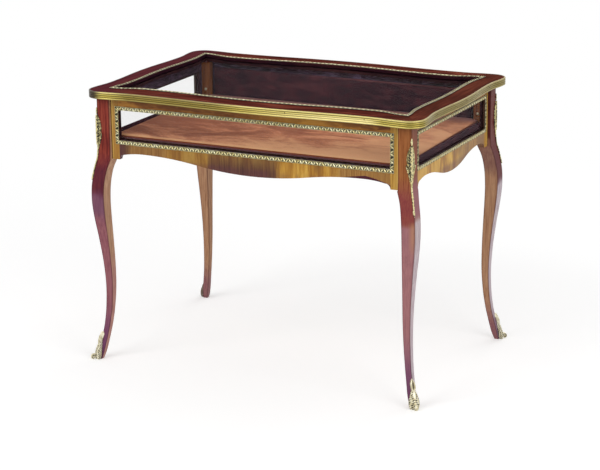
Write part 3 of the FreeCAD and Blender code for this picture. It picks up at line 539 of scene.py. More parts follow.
def buildRoseVelvet(bench, spot):
    x, y, z = bench.split(spot)
    brushed = bench.cloud(bench.stretched(spot, (0.55, 1.0, 1.0), 0.25), 11.0, 5.0, 0.55, 1.2)
    wisp = bench.cloud(bench.stretched(spot, (0.2, 1.0, 1.0), 0.1), 60.0, 3.0, 0.5, 0.5)
    nap = bench.cloud(spot, 700.0, 3.0, 0.7)
    fine = bench.cloud(bench.stretched(spot, (0.4, 1.0, 1.0), 0.2), 190.0, 4.0, 0.65, 0.8)
    lit = bench.ease(x - y * roseVelvet["lean"], *roseVelvet["litRight"])
    lit = lit + bench.ease(y, *roseVelvet["litFront"]) - roseVelvet["litLevel"]
    broad, thin, small, least = roseVelvet["shares"]
    clouded = brushed * broad + wisp * thin + fine * small + nap * least
    tone = bench.ease(clouded + lit, *roseVelvet["toneReach"])
    front, back = boardShape["front"] * mm, boardShape["back"] * mm
    depth = boardShape["low"] * mm + (y - front) * (boardShape["rise"] * mm / (back - front)) - z
    colour = bench.layers(
        # the back patch is painted shade near the back wall
        bench.ramp(tone, (0.0, 0.5, 1.0), roseVelvet["tones"]), bench.patch(y, roseVelvet["back"]),
        # the front edge patch is a painted highlight on the rounded edge
        bench.patch(y, roseVelvet["frontEdge"]), bench.patch(depth, roseVelvet["side"]),
        bench.patch(depth, roseVelvet["sideLow"]))
    return napped(bench, colour, nap)


def buildPlumVelvet(bench, spot):
    x, _, z = bench.split(spot)
    brushed = bench.cloud(bench.stretched(spot, (0.4, 1.0, 1.0)), 60.0, 6.0, 0.7, 0.6)
    nap = bench.cloud(spot, 600.0, 3.0, 0.7)
    most, broad, least = plumVelvet["shares"]
    clouded = brushed * most + bench.cloud(spot, 12.0, 3.0) * broad + nap * least
    tone = bench.ease(clouded, *plumVelvet["toneReach"])
    # the rim is a painted highlight along the rounded top edge, stronger to the right
    rim, rimTone = bench.patch(z, plumVelvet["rim"])
    colour = bench.ramp(tone, (0.0, 0.5, 1.0), plumVelvet["tones"])
    return napped(bench, bench.mix(rim * bench.ease(x, *plumVelvet["rimRight"]), colour, rimTone), nap)


metal = {"Metallic": 1.0}
legPolish = {"Coat Weight": 0.07, "Coat Roughness": 0.06, "Coat IOR": 1.5, "Specular IOR Level": 0.05}
casePolish = {"Coat Weight": 0.12, "Coat Roughness": 0.06, "Coat IOR": 1.5, "Specular IOR Level": 0.15}
lidPolish = {"Coat Weight": 0.02, "Coat Roughness": 0.12, "Specular IOR Level": 0.0}
velvetSheen = {"Specular IOR Level": 0.1, "Sheen Weight": 0.25, "Sheen Roughness": 0.4}
finishPlan = {
    "legVeneer": (buildLegVeneer, legPolish),
    "lidWoodLong": (buildLidWood(0), lidPolish), "lidWoodCross": (buildLidWood(1), lidPolish),
    "panelLong": (buildPanel(0), casePolish), "panelCross": (buildPanel(1), casePolish),
    "railLong": (buildRail(0), casePolish), "railCross": (buildRail(1), casePolish),
    "stileLong": (buildStile(0), casePolish), "stileCross": (buildStile(1), casePolish),
    "darkWood": (buildPlain(0, "dark"), {"Specular IOR Level": 0.1}),
    "blockWood": (buildPlain(2, "block"), {"Specular IOR Level": 0.15}),
    "plainWood": (buildPlain(0, "plain"), {"Specular IOR Level": 0.25}),
    "floorBoard": (buildFloorBoard, {"Specular IOR Level": 0.2}),
    "giltBronze": (buildGilt("mount"), {}), "giltBorder": (buildGilt("border"), {}),
    "giltLidBorder": (buildGilt("lidBorder"), {}), "brassEdge": (buildBrass, metal),
    "brassFitting": (buildFitting((196, 168, 96), (140, 112, 56)), metal),
    "brassPin": (buildFitting((84, 70, 40), (50, 40, 26)), {"Metallic": 0.6}),
    "brassScrew": (buildFitting((214, 206, 176), (150, 140, 112)), {"Metallic": 0.3}),
    "steelScrew": (buildFitting((176, 174, 170), (120, 118, 114)), metal),
    "paneGlass": (buildGlass(0.03, 0.06), {"IOR": 1.5}), "lidGlass": (buildGlass(0.012, 0.015), {"IOR": 1.5}),
    "roseVelvet": (buildRoseVelvet, dict(velvetSheen, **{"Sheen Tint": paint(255, 214, 196)})),
    "plumVelvet": (buildPlumVelvet, dict(velvetSheen, **{"Sheen Tint": paint(180, 130, 160)})),
}
finishes = {name: finish(name, build, constants) for name, (build, constants) in finishPlan.items()}
print("finishes made:", len(finishes))


def rawMesh(name, points, faces, marks=None, edges=()):  # points in millimetres
    mesh = bpy.data.meshes.new(name)
    mesh.from_pydata([Vector(p) * mm for p in points], edges, faces)
    for mark, values in (marks or {}).items():
        layer = mesh.attributes.new(mark, "FLOAT", "POINT")
        layer.data.foreach_set("value", values)
    return mesh


def faceOutwards(mesh, merge=False):  # closed shells, each turned the right way out
    work = bmesh.new()
    work.from_mesh(mesh)
    if merge:
        bmesh.ops.remove_doubles(work, verts=work.verts, dist=1e-6)
    bmesh.ops.recalc_face_normals(work, faces=work.faces)
    work.to_mesh(mesh)
    work.free()
    return mesh


def put(name, data):
    thing = bpy.data.objects.new(name, data)
    bpy.context.scene.collection.objects.link(thing)
    return thing


def placePiece(name, mesh, coat, body, stands, sharp):  # sharp in degrees, for the shading
    mesh.materials.clear()
    mesh.materials.append(finishes[coat])
    mesh.polygons.foreach_set("use_smooth", [True] * len(mesh.polygons))
    mesh.set_sharp_from_angle(angle=math.radians(sharp))
    piece = put(name, mesh)
    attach(piece, body)
    if stands:
        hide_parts(*stands)
    return piece


def tubeFaces(rows, ring):  # closed rings of points joined one to the next, with both ends capped
    faces = []
    for row in range(rows - 1):
        for k in range(ring):
            a, b = row * ring + k, row * ring + (k + 1) % ring
            faces.append((a, b, b + ring, a + ring))
    return faces + [tuple(range(ring)), tuple(range((rows - 1) * ring, rows * ring))]


def spline(stations, at):  # smooth curve through (place, value) pairs
    count = len(stations)
    if at <= stations[0][0]:
        return stations[0][1]
    if at >= stations[-1][0]:
        return stations[-1][1]
    index = max(i for i in range(count - 1) if stations[i][0] <= at)

    def slope(i):
        low, high = max(i - 1, 0), min(i + 1, count - 1)
        return (stations[high][1] - stations[low][1]) / (stations[high][0] - stations[low][0])
    (x0, y0), (x1, y1) = stations[index], stations[index + 1]
    width = x1 - x0
    t = (at - x0) / width
    return ((2 * t ** 3 - 3 * t ** 2 + 1) * y0 + (t ** 3 - 2 * t ** 2 + t) * width * slope(index)
            + (3 * t ** 2 - 2 * t ** 3) * y1 + (t ** 3 - t ** 2) * width * slope(index + 1))


legShape = {  # stations: share of the height, swell and width against the greatest ones
    "swell": 15.5, "arris": 1.6, "ledge": 3.0, "ease": 38.0, "rings": 88, "arcSteps": 4, "skin": 0.3,
    "flatPlaces": (0.0, 0.07, 0.5, 0.93), "above": (6.0, 12.0, 20.0, 30.0, 38.0),
    "postPlaces": (650.0, 700.0),
    "stations": [(0.000, 1.12, 0.34), (0.026, 1.00, 0.42), (0.060, 0.84, 0.475), (0.115, 0.44, 0.465),
                 (0.175, 0.08, 0.47), (0.260, -0.20, 0.505), (0.370, -0.29, 0.565), (0.490, -0.06, 0.655),
                 (0.610, 0.40, 0.79), (0.715, 0.88, 0.93), (0.795, 1.10, 1.00), (0.875, 1.02, 1.02),
                 (0.945, 0.60, 1.01), (1.000, 0.16, 1.02)],
}
shoulder = table["shoulder"]
legSwell = [(share * shoulder, swell * legShape["swell"]) for share, swell, width in legShape["stations"]]
legWidth = [(share * shoulder, width * table["post"] + (legShape["ledge"] if share == 1.0 else 0.0))
            for share, swell, width in legShape["stations"]]
postSwell = [(shoulder, legSwell[-1][1]), (shoulder + 0.45 * legShape["ease"], 0.3 * legSwell[-1][1]),
             (shoulder + legShape["ease"], 0.0), (table["top"], 0.0)]


def legSize(height):  # how far the leg's arris stands past the post, and the leg's width
    if height < shoulder:
        return spline(legSwell, height), spline(legWidth, height)
    swell = max(0.0, spline(postSwell, height))
    return swell, table["post"] + swell


def roundedRing(corner, height, swell, width):
    sx, sy = corner
    half, arris, arcSteps = width / 2, legShape["arris"], legShape["arcSteps"]
    x = sx * (table["halfWidth"] + swell - half)
    y = sy * (table["halfDepth"] + swell - half)
    flat = [(half, -half + arris + (2 * half - 2 * arris) * part) for part in legShape["flatPlaces"]]
    arc = [(half - arris + arris * math.cos(a), half - arris + arris * math.sin(a))
           for a in (math.pi / 2 * i / arcSteps for i in range(arcSteps))]
    ring = []
    for turn in range(4):
        c, s = math.cos(math.pi / 2 * turn), math.sin(math.pi / 2 * turn)
        ring += [(x + u * c - v * s, y + u * s + v * c, height) for u, v in flat + arc]
    return ring


def makeLeg(name, corner):
    sx, sy = corner
    arris, skin = legShape["arris"], legShape["skin"]
    rings = [(h, *legSize(h)) for h in (shoulder * i / legShape["rings"] for i in range(legShape["rings"]))]
    rings.append((shoulder, legSwell[-1][1], legWidth[-1][1]))
    above = [shoulder] + [shoulder + step for step in legShape["above"]]
    rings += [(h, *legSize(h)) for h in (*above, *legShape["postPlaces"], table["top"])]
    points, marks = [], {"innerFace": [], "arris": [], "flank": []}
    for height, swell, width in rings:
        edgeX = sx * (table["halfWidth"] + swell)
        edgeY = sy * (table["halfDepth"] + swell)
        for x, y, z in roundedRing(corner, height, swell, width):
            points.append((x, y, z))
            outX, outY = abs(edgeX - x), abs(edgeY - y)
            farX, farY = width - outX, width - outY
            near = min(max(outX, outY), max(farX, outY), max(outX, farY), max(farX, farY))
            marks["innerFace"].append(1.0 if min(outX, outY) > skin + arris * 0.3 else 0.0)
            marks["arris"].append(1.0 if near < arris * 1.01 else 0.0)
            marks["flank"].append(1.0 if outX < skin else 0.0)
    faces = tubeFaces(len(rings), len(points) // len(rings))
    makePiece("cabriole_" + name, points, faces, "legVeneer", "case", ["leg_" + name], marks,
              40.0)


def makePiece(name, points, faces, coat, body, stands, marks, sharp, merge=True):
    mesh = rawMesh(name, points, faces, marks)
    if merge:
        faceOutwards(mesh, True)
    piece = placePiece(name, mesh, coat, body, stands, sharp)
    if not merge:
        faceOutwards(mesh)
    return piece


for name, corner in cornerSigns.items():
    makeLeg(name, corner)
print("legs made")


def onLeg(corner):  # (round the arris, height, out from the veneer) to a place in space
    sx, sy = corner
    arris = legShape["arris"]
    reach = arris * math.pi / 4

    def place(rounding, height, out):
        swell = legSize(height)[0]
        side = 1 if rounding >= 0 else -1
        bend = min(abs(rounding), reach) / arris * side
        beyond = max(0.0, abs(rounding) - reach)
        angle = math.pi / 4 - bend
        p = -arris + (arris + out) * math.cos(angle) - (beyond if side < 0 else 0.0)
        q = -arris + (arris + out) * math.sin(angle) - (beyond if side > 0 else 0.0)
        return (sx * (table["halfWidth"] + swell + p), sy * (table["halfDepth"] + swell + q), height)
    return place


def offArris(corner):  # (across the diagonal, height, out along the diagonal) to a place in space
    sx, sy = corner
    root = math.sqrt(0.5)

    def place(across, height, out):
        swell = legSize(max(height, 0.0))[0] - legShape["arris"] * 0.3
        return (sx * (table["halfWidth"] + swell + out * root + across * root),
                sy * (table["halfDepth"] + swell + out * root - across * root), height)
    return place


def sampled(path, steps):  # smooth points along a short list of control points
    knots = [i / (len(path) - 1) for i in range(len(path))]
    lines = [[(k, p[axis]) for k, p in zip(knots, path)] for axis in range(len(path[0]))]
    return [tuple(spline(line, i / steps) for line in lines) for i in range(steps + 1)]


leafForm = {"domePower": 2.4, "fold": 0.22, "valley": 0.5, "valleyWide": 0.2, "vein": 0.26, "thinnest": 0.12,
            "under": (0.8, 0.0, -0.8)}


def leafStrip(place, path, rise, under, lobes, notch=0.2, steps=20, across=8, ridge=0.35):
    # path: (round, height, out, half width) control points; rise is the crown above the path
    line, form = sampled(path, steps), leafForm
    points, recess = [], []
    for i, (u, z, out, half) in enumerate(line):
        t = i / steps
        before, after = line[max(i - 1, 0)], line[min(i + 1, steps)]
        du, dz = after[0] - before[0], after[1] - before[1]
        length = math.hypot(du, dz) or 1.0
        nu, nz = -dz / length, du / length
        if lobes:
            beat = (t * lobes) % 1.0
            half *= 1.0 - notch * (1.0 - math.sin(math.pi * beat) ** 0.7)
        half = max(half, form["thinnest"])
        for k in range(across + 1):
            s = -1.0 + 2.0 * k / across
            away = abs(s) - form["valley"]
            dome = math.sqrt(max(0.0, 1.0 - abs(s) ** form["domePower"]))
            fold = ridge * math.exp(-(s / form["fold"]) ** 2)
            fold -= 0.5 * ridge * math.exp(-(away / form["valleyWide"]) ** 2)
            beaten = math.cos(2 * math.pi * (t * lobes + abs(s) * 0.7))
            vein = form["vein"] * beaten * abs(s) ** 0.5 if lobes else 0.0
            lift = rise * (dome * (1.0 + fold + vein))
            points.append(place(u + nu * half * s, z + nz * half * s, out + lift))
            # painted shade: darker towards the leaf's edges, in its valleys and vein troughs, and under it
            low = 0.9 * (1.0 - dome) ** 0.8 + 0.7 * math.exp(-(away / 0.18) ** 2) * ridge * 1.6
            recess.append(min(1.0, low + max(0.0, -vein) * 2.6))
        for s in form["under"]:
            points.append(place(u + nu * half * s, z + nz * half * s, out - under))
            recess.append(1.0)
    return points, tubeFaces(steps + 1, across + 1 + len(form["under"])), recess


def bead(place, u, z, out, radius, rings=5, segments=8, squash=1.0):
    points, faces, recess = [place(u, z, out + radius * squash)], [], [0.0]
    for r in range(1, rings):
        angle = math.pi * r / rings
        for s in range(segments):
            turn = 2 * math.pi * s / segments
            points.append(place(u + radius * math.sin(angle) * math.cos(turn),
                                z + radius * math.sin(angle) * math.sin(turn),
                                out + radius * squash * math.cos(angle)))
            # painted shade on the side of the bead that faces the surface it sits on
            recess.append(0.0 if angle < 1.2 else 0.8)
    points.append(place(u, z, out - radius * squash))
    recess.append(1.0)
    last = 1 + (rings - 2) * segments
    for s in range(segments):
        following = (s + 1) % segments
        faces.append((0, 1 + s, 1 + following))
        faces.append((len(points) - 1, last + following, last + s))
        for r in range(rings - 2):
            a, b = 1 + r * segments + s, 1 + r * segments + following
            faces.append((a, a + segments, b + segments, b))
    return points, faces, recess


def gathered(parts):
    points, faces, recess = [], [], []
    for somePoints, someFaces, someRecess in parts:
        base = len(points)
        points += somePoints
        faces += [tuple(i + base for i in face) for face in someFaces]
        recess += someRecess
    return points, faces, recess


def makeCasting(name, parts, stands):
    points, faces, recess = gathered(parts)
    marks = {"recess": recess}
    makePiece(name, points, faces, "giltBronze", "case", stands, marks, 60.0, False)


kneeMount = {  # paths: round the arris, down from the top, out, half width
    "top": 712.0, "narrow": 0.92, "grains": (26, 96, 7.0), "grainIn": 3.1, "grainRadius": 1.1,
    "ground": [(0, 16, 0.0, 1.0), (0, 30, 0.0, 6.2), (0, 56, 0.0, 10.0), (0, 80, 0.0, 10.6),
               (0, 100, 0.0, 5.0), (0, 116, 0.0, 1.6)],
    "tip": [(0, 0, 0.4, 0.5), (0, 6, 0.8, 2.0), (0, 12, 0.9, 2.3), (0, 18, 0.5, 0.8)],
    "spine": [(0, 20, 0.6, 0.9), (0, 30, 0.9, 2.4), (0, 44, 1.2, 3.2), (0, 62, 1.5, 3.6), (0, 84, 1.2, 2.8),
              (0, 102, 0.8, 1.4)],
    "flank": [(2.4, 20, 0.2, 0.5), (5.0, 27, 0.5, 1.6), (6.6, 38, 0.6, 2.2), (8.2, 52, 0.7, 2.5),
              (8.8, 66, 0.6, 2.4), (6.6, 84, 0.5, 1.9), (2.8, 100, 0.4, 0.8)],
    "curl": [(1.2, 118, 0.4, 0.9), (5.2, 100, 0.8, 2.3), (9.6, 86, 1.4, 2.9), (13.0, 76, 2.4, 2.2),
             (14.6, 69, 3.2, 0.7)],
    "tendril": [(7.6, 30, 0.3, 0.4), (10.4, 40, 0.8, 1.4), (12.0, 50, 0.9, 1.5), (12.4, 60, 0.8, 1.2),
                (10.8, 72, 0.4, 0.5)],
    "stem": [(0, 92, 0.6, 2.2), (0, 120, 0.6, 1.9), (0, 150, 0.5, 1.5), (0, 186, 0.4, 1.2)],
    "beads": [(150, 1.5), (158, 1.8), (166, 1.6), (174, 1.4)],
    "drop": [(0, 178, 0.2, 0.6), (0, 188, 0.6, 2.6), (0, 199, 0.2, 0.4)],
}


def makeKneeMount(name, corner):
    place, shape = onLeg(corner), kneeMount
    top, narrow = shape["top"], shape["narrow"]

    def strip(kind, rise, under, lobes, notch, steps, ridge=0.35, mirror=1):
        path = [(u * mirror * narrow, top - down, out, half * narrow) for u, down, out, half in shape[kind]]
        return leafStrip(place, path, rise, under, lobes, notch, steps, ridge=ridge)
    points, faces, recess = strip("ground", 0.7, 0.6, 0, 0.2, 24, 0.0)
    # the ground under the leaves is all painted shade
    parts = [strip("stem", 2.2, 0.6, 0, 0.2, 26, 0.2), (points, faces, [1.0] * len(points)),
             strip("tip", 2.0, 0.6, 0, 0.2, 10, 0.2)]
    for side in (1, -1):
        parts += [strip("flank", 2.2, 0.7, 8, 0.5, 64, mirror=side),
                  strip("tendril", 1.8, 0.7, 4, 0.4, 28, mirror=side),
                  strip("curl", 2.0, 1.0, 5, 0.35, 36, mirror=side)]
    parts += [strip("spine", 3.2, 0.8, 8, 0.45, 64), strip("drop", 2.2, 0.5, 0, 0.2, 12)]
    parts += [bead(place, 0.0, top - down, 2.2, radius) for down, radius in shape["beads"]]
    first, last, pitch = shape["grains"]
    edge = [(down, u) for u, down, out, half in shape["flank"]]
    for i in range(int((last - first) / pitch)):  # chased grains between the leaves
        down = first + i * pitch
        reach = spline(edge, down) * narrow - shape["grainIn"]
        parts += [bead(place, side * reach, top - down, 2.0, shape["grainRadius"], 4, 6) for side in (1, -1)]
    makeCasting("kneeLeaf_" + name, parts, ["knee_mount_" + name])


sabotShape = {  # ridge and half width over the height; strand: across, height, out, half width
    "around": 32, "rings": 40, "fall": 0.62, "relief": 0.85, "toe": 8.5, "toeOut": 14.0, "toeHalf": 4.8,
    "tuck": 0.30, "sink": 1.2, "scroll": {"turns": 1.35, "steps": 44, "thick": 0.30, "shrink": 0.62},
    "strands": 3.5, "strandSway": (0.25, 0.21), "beatPitch": 5.4, "beats": 2.6, "beatSway": (0.8, 0.37),
    "ridge": [(0.4, 7.6), (6.0, 9.8), (14.0, 10.6), (24.0, 9.8), (33.0, 8.6), (41.0, 7.4), (47.0, 6.0),
              (52.0, 2.5)],
    "half": [(0.4, 12.2), (6.0, 14.4), (14.0, 15.4), (24.0, 14.2), (33.0, 11.6), (41.0, 8.8), (47.0, 6.2),
             (52.0, 2.4)],
    "strand": [(1.6, 45, 5.6, 1.6), (3.8, 53, 6.6, 2.2), (4.1, 62, 6.2, 2.1), (2.5, 70, 4.4, 1.6),
               (0.5, 77, 2.0, 0.5)],
}


def sabotBody(off):  # the leaf that wraps the arris: a ridge in front, flanks that fall back to the veneer
    shape = sabotShape
    points, recess = [], []
    around, rings = shape["around"], shape["rings"]
    low, high = shape["ridge"][0][0], shape["ridge"][-1][0]
    (sway, swayPitch), (roll, rollPitch) = shape["strandSway"], shape["beatSway"]
    for i in range(rings + 1):
        height = low + (high - low) * i / rings
        ridge, half = spline(shape["ridge"], height), spline(shape["half"], height)
        edge = ridge - shape["fall"] * half
        for k in range(around + 1):
            t = -1.0 + 2.0 * k / around
            s, side = abs(t), math.copysign(1.0, t)
            if s <= 0.5:
                bend = s * math.pi
                across, out = half * math.sin(bend), ridge - shape["fall"] * half * (1 - math.cos(bend))
            else:
                share = 2 * s - 1
                across = half * (1 - shape["tuck"] * share)
                out = edge * (1 - share) - (shape["tuck"] * half + shape["sink"]) * share
            strand = math.cos(2 * math.pi * (shape["strands"] * s - sway * math.sin(height * swayPitch)))
            beat = math.sin(2 * math.pi * (height / shape["beatPitch"] + s * shape["beats"])
                            + roll * math.sin(height * rollPitch))
            level = 0.5 * strand + 0.5 * beat
            lift = shape["relief"] * level * (1 - s ** 4)
            fade = min(1.0, 2 * s)
            points.append(off((across + 0.6 * lift * fade) * side, height, out + lift * (1 - 0.5 * s)))
            # painted shade in the troughs between the strands, more towards the flanks
            recess.append(min(1.0, max(0.0, 0.30 + 0.2 * fade - 0.72 * level)))
    return points, tubeFaces(rings + 1, around + 1), recess


def scrollRoll(place, centreOut, centreZ, radius, half):
    # a rolled volute seen from its two ends, with a small eye in the middle
    points, recess, shape = [], [], sabotShape["scroll"]
    thick, steps = radius * shape["thick"], shape["steps"]
    for i in range(steps + 1):
        t = i / steps
        angle = -math.pi * 0.55 + 2 * math.pi * shape["turns"] * t
        mid = (radius - thick / 2) * (1.0 - shape["shrink"] * t)
        width = half * (1.0 - 0.12 * math.sin(math.pi * t))
        profile = [(mid + thick / 2, -0.82), (mid + thick / 2 * 1.15, 0.0), (mid + thick / 2, 0.82),
                   (mid, 1.0), (mid - thick / 2, 0.82), (mid - thick / 2, -0.82), (mid, -1.0)]
        for far, w in profile:
            points.append(place(width * w, centreZ + far * math.sin(angle),
                                centreOut + far * math.cos(angle)))
            # painted shade on the roll's inner faces
            recess.append(0.0 if far > mid else (0.25 if far == mid else 0.9))
    return points, tubeFaces(steps + 1, len(profile)), recess


def makeSabot(name, corner):
    off, shape = offArris(corner), sabotShape
    toe, toeOut, toeHalf = shape["toe"], shape["toeOut"], shape["toeHalf"]
    parts = [sabotBody(off), scrollRoll(off, toeOut, toe, toe, toeHalf)]
    for side in (1, -1):
        path = [(u * side, z, out, half) for u, z, out, half in shape["strand"]]
        points, faces, recess = leafStrip(off, path, 1.6, 8.0, 0, 0.25, 20, 6)
        # the strands' painted shade is kept light
        parts.append((points, faces, [min(r, 0.45) for r in recess]))

        def eye(a, z, out):
            return off(toeHalf * 0.8 * side + out * side, z, toeOut + a)
        parts.append(bead(eye, 0.0, toe, 0.0, toe * 0.34, squash=0.7))
    makeCasting("sabotLeaf_" + name, parts, ["sabot_" + name])


for name, corner in cornerSigns.items():
    makeKneeMount(name, corner)
    makeSabot(name, corner)
print("leg mounts made")


lidShape = {  # half widths at the crests, the necks between them and the ears beside the corners
    "sideCrest": 490.0, "sideNeck": 482.0, "sideNeckAt": 190.0, "earX": 490.0, "frontCrest": 324.0,
    "frontNeck": 311.0, "frontNeckAt": 345.0, "earY": 319.0, "corner": 42.0,
}
openingShape = {
    "sideCrest": 427.0, "sideNeck": 421.0, "sideNeckAt": 180.0, "earX": 429.0, "frontCrest": 256.0,
    "frontNeck": 238.0, "frontNeckAt": 335.0, "earY": 258.0, "corner": 0.0,
}


def wave(start, end, first, last, steps):  # two equal arcs from (start, first) to (end, last)
    run, rise = end - start, last - first
    if abs(rise) < 1e-9:
        return [(start + run * i / steps, first) for i in range(steps)]
    radius = (run * run + rise * rise) / (4 * abs(rise))
    line = []
    for i in range(steps):
        t = abs(run) * i / steps
        if t <= abs(run) / 2:
            across = radius - math.sqrt(radius * radius - t * t)
        else:
            across = abs(rise) - radius + math.sqrt(radius * radius - (abs(run) - t) ** 2)
        line.append((start + math.copysign(t, run), first + math.copysign(across, rise)))
    return line


def quarterLine(shape, grow, steps):  # from the front crest to the side crest, both measured outwards
    corner = shape["corner"] + grow if shape["corner"] > 0 else 0.0
    earX, earY, sideNeck, sideCrest, frontNeck, frontCrest = (
        shape[key] + grow for key in ("earX", "earY", "sideNeck", "sideCrest", "frontNeck", "frontCrest"))
    line = wave(0.0, shape["frontNeckAt"], frontCrest, frontNeck, steps)
    line += wave(shape["frontNeckAt"], earX - corner, frontNeck, earY, steps)
    if corner > 0:
        line += [(earX - corner + corner * math.sin(a), earY - corner + corner * math.cos(a))
                 for a in (math.pi / 2 * i / steps for i in range(steps))]
    side = wave(earY - corner, shape["sideNeckAt"], earX, sideNeck, steps)
    side += wave(shape["sideNeckAt"], 0.0, sideNeck, sideCrest, steps)
    return line + [(x, y) for y, x in side] + [(sideCrest, 0.0)]


def fullLine(shape, grow, steps):  # closed loop, counter-clockwise seen from above, from the front crest
    quarter = quarterLine(shape, grow, steps)
    shift = table["lidShift"]
    loop = [(x, -y + shift) for x, y in quarter]
    loop += [(x, y + shift) for x, y in reversed(quarter[:-1])]
    loop += [(-x, y + shift) for x, y in quarter[1:]]
    loop += [(-x, -y + shift) for x, y in reversed(quarter[1:-1])]
    return loop


def cutLoop(loop, marks, level, gap):  # a closed outline cut at its marks, each end drawn back by the gap
    lines = []
    for a, b in zip(marks, marks[1:] + marks[:1]):
        places = list(range(a, b + 1)) if b > a else list(range(a, len(loop))) + list(range(b + 1))
        line = [Vector((*loop[k % len(loop)], level)) for k in places]
        line[0] += (line[1] - line[0]).normalized() * gap
        line[-1] += (line[-2] - line[-1]).normalized() * gap
        lines.append(line)
    return lines


def band(loops):  # closed ring of faces between loops of equal length, the last joining the first
    points = [p for loop in loops for p in loop]
    count, faces = len(loops[0]), []
    for k in range(len(loops)):
        following = (k + 1) % len(loops)
        for i in range(count):
            j = (i + 1) % count
            faces.append((k * count + i, k * count + j, following * count + j, following * count + i))
    return points, faces


def newTree(name, **inputs):
    tree = bpy.data.node_groups.new(name, "GeometryNodeTree")
    tree.interface.new_socket("Geometry", in_out="INPUT", socket_type="NodeSocketGeometry")
    for label, kind in inputs.items():
        tree.interface.new_socket(label, in_out="INPUT", socket_type="NodeSocket" + kind)
    tree.interface.new_socket("Geometry", in_out="OUTPUT", socket_type="NodeSocketGeometry")
    bench = Bench(tree)
    entry = bench.add("NodeGroupInput", {}, {}, None)
    wires = {socket.name: Wire(bench, socket) for socket in entry.outputs if socket.name}
    return tree, bench, wires


def closeTree(bench, geometry, coat):
    solid = bench.add("GeometryNodeRealizeInstances", {}, {"Geometry": geometry})
    coated = bench.add("GeometryNodeSetMaterial", {}, {"Geometry": solid, "Material": coat})
    bench.add("NodeGroupOutput", {}, {"Geometry": coated}, None)


def standing(bench, points, thing, upright, ahead):  # copies of a thing on points, its z upright, its x ahead
    turn = bench.add("FunctionNodeAxesToRotation", {"primary_axis": "Z", "secondary_axis": "X"},
                     {0: upright, 1: ahead})
    copied = bench.add("GeometryNodeObjectInfo", {}, {"Object": thing}, "Geometry")
    return bench.add("GeometryNodeInstanceOnPoints", {},
                     {"Points": points, "Instance": copied, "Rotation": turn})


def seatedTree():  # heads on points, each standing along its own direction
    tree, bench, wires = newTree("seatedHeads", Head="Object", Finish="Material")
    facing, slotWay = (
        bench.add("GeometryNodeInputNamedAttribute", {"data_type": "FLOAT_VECTOR"}, {"Name": name})
        for name in ("facing", "slotWay"))
    points = bench.add("GeometryNodeMeshToPoints", {}, {"Mesh": wires["Geometry"], "Radius": 0.001})
    closeTree(bench, standing(bench, points, wires["Head"], facing, slotWay), wires["Finish"])
    return tree


def sweptTree():  # a closed section carried along open lines
    tree, bench, wires = newTree("sweptMoulding", Section="Object", Finish="Material")
    line = bench.add("GeometryNodeMeshToCurve", {}, {"Mesh": wires["Geometry"]})
    level = bench.add("GeometryNodeSetCurveNormal", {"mode": "Z_UP"}, {"Curve": line})
    shape = bench.add("GeometryNodeObjectInfo", {}, {"Object": wires["Section"]}, "Geometry")
    outline = bench.add("GeometryNodeMeshToCurve", {}, {"Mesh": shape})
    swept = bench.add("GeometryNodeCurveToMesh", {},
                      {"Curve": level, "Profile Curve": outline, "Fill Caps": True})
    closeTree(bench, swept, wires["Finish"])
    return tree


def runningTree():  # a leaf repeated along lines at a pitch, standing along one direction
    tree, bench, wires = newTree("runningLeaf", Leaf="Object", Pitch="Float", Outward="Vector",
                                 Finish="Material")
    line = bench.add("GeometryNodeMeshToCurve", {}, {"Mesh": wires["Geometry"]})
    even = bench.add("GeometryNodeResampleCurve", {"mode": "LENGTH"},
                     {"Curve": line, "Length": wires["Pitch"]})
    tangent = bench.add("GeometryNodeInputTangent")
    closeTree(bench, standing(bench, even, wires["Leaf"], wires["Outward"], tangent), wires["Finish"])
    return tree


seatedHeads, sweptMoulding, runningLeaf = seatedTree(), sweptTree(), runningTree()


def evaluated(thing):  # the plain mesh that an object's modifiers give; the modifiers go
    graph = bpy.context.evaluated_depsgraph_get()
    mesh = bpy.data.meshes.new_from_object(thing.evaluated_get(graph))
    thing.modifiers.clear()
    return mesh


def grown(name, tree, mesh, values):  # runs a tree on a mesh and gives the plain result
    source = put(name + "Source", mesh)
    modifier = source.modifiers.new(name, "NODES")
    modifier.node_group = tree
    labels = {item.name: item.identifier for item in tree.interface.items_tree if item.in_out == "INPUT"}
    for label, value in values.items():
        modifier[labels[label]] = value
    result = evaluated(source)
    bpy.data.objects.remove(source)
    return result


def lineMesh(name, lines, closed=False):
    points, edges = [], []
    for line in lines:
        base = len(points)
        points += line
        edges += [(base + i, base + i + 1) for i in range(len(line) - 1)]
        if closed:
            edges.append((base + len(line) - 1, base))
    return rawMesh(name, points, [], None, edges)


edgeShape = {"thick": 4.0, "reeds": 4, "dip": 1.5, "joint": 0.12, "steps": 16, "arc": 6, "sharpness": 0.75,
             "spread": 0.48}


def edgeSection():  # x outwards from the outline; the sweep takes y downwards
    shape, height = edgeShape, table["lidHigh"] - table["lidLow"]
    pitch = height / shape["reeds"]
    points = [(-shape["thick"], 0.0, 0.0)]
    for reed in range(shape["reeds"]):
        for i in range(shape["arc"] + 1):
            angle = math.pi * i / shape["arc"]
            dip = shape["dip"] * (1.0 - math.sin(angle) ** shape["sharpness"])
            points.append((-dip, -pitch * (reed + 0.5 - shape["spread"] * math.cos(angle)), 0.0))
    points.append((-shape["thick"], -height, 0.0))
    return lineMesh("edgeSection", [points], True)


def edgeLines():  # the outline cut at its joints, each line with the name of its stretch
    steps = edgeShape["steps"]
    marks = [5 * steps * q + part * steps for q in range(4) for part in (1, 4)]
    lines = cutLoop(fullLine(lidShape, 0.0, steps), marks, table["lidLow"], edgeShape["joint"])
    return list(zip(("corner", "right", "corner", "back", "corner", "left", "corner", "front"), lines))


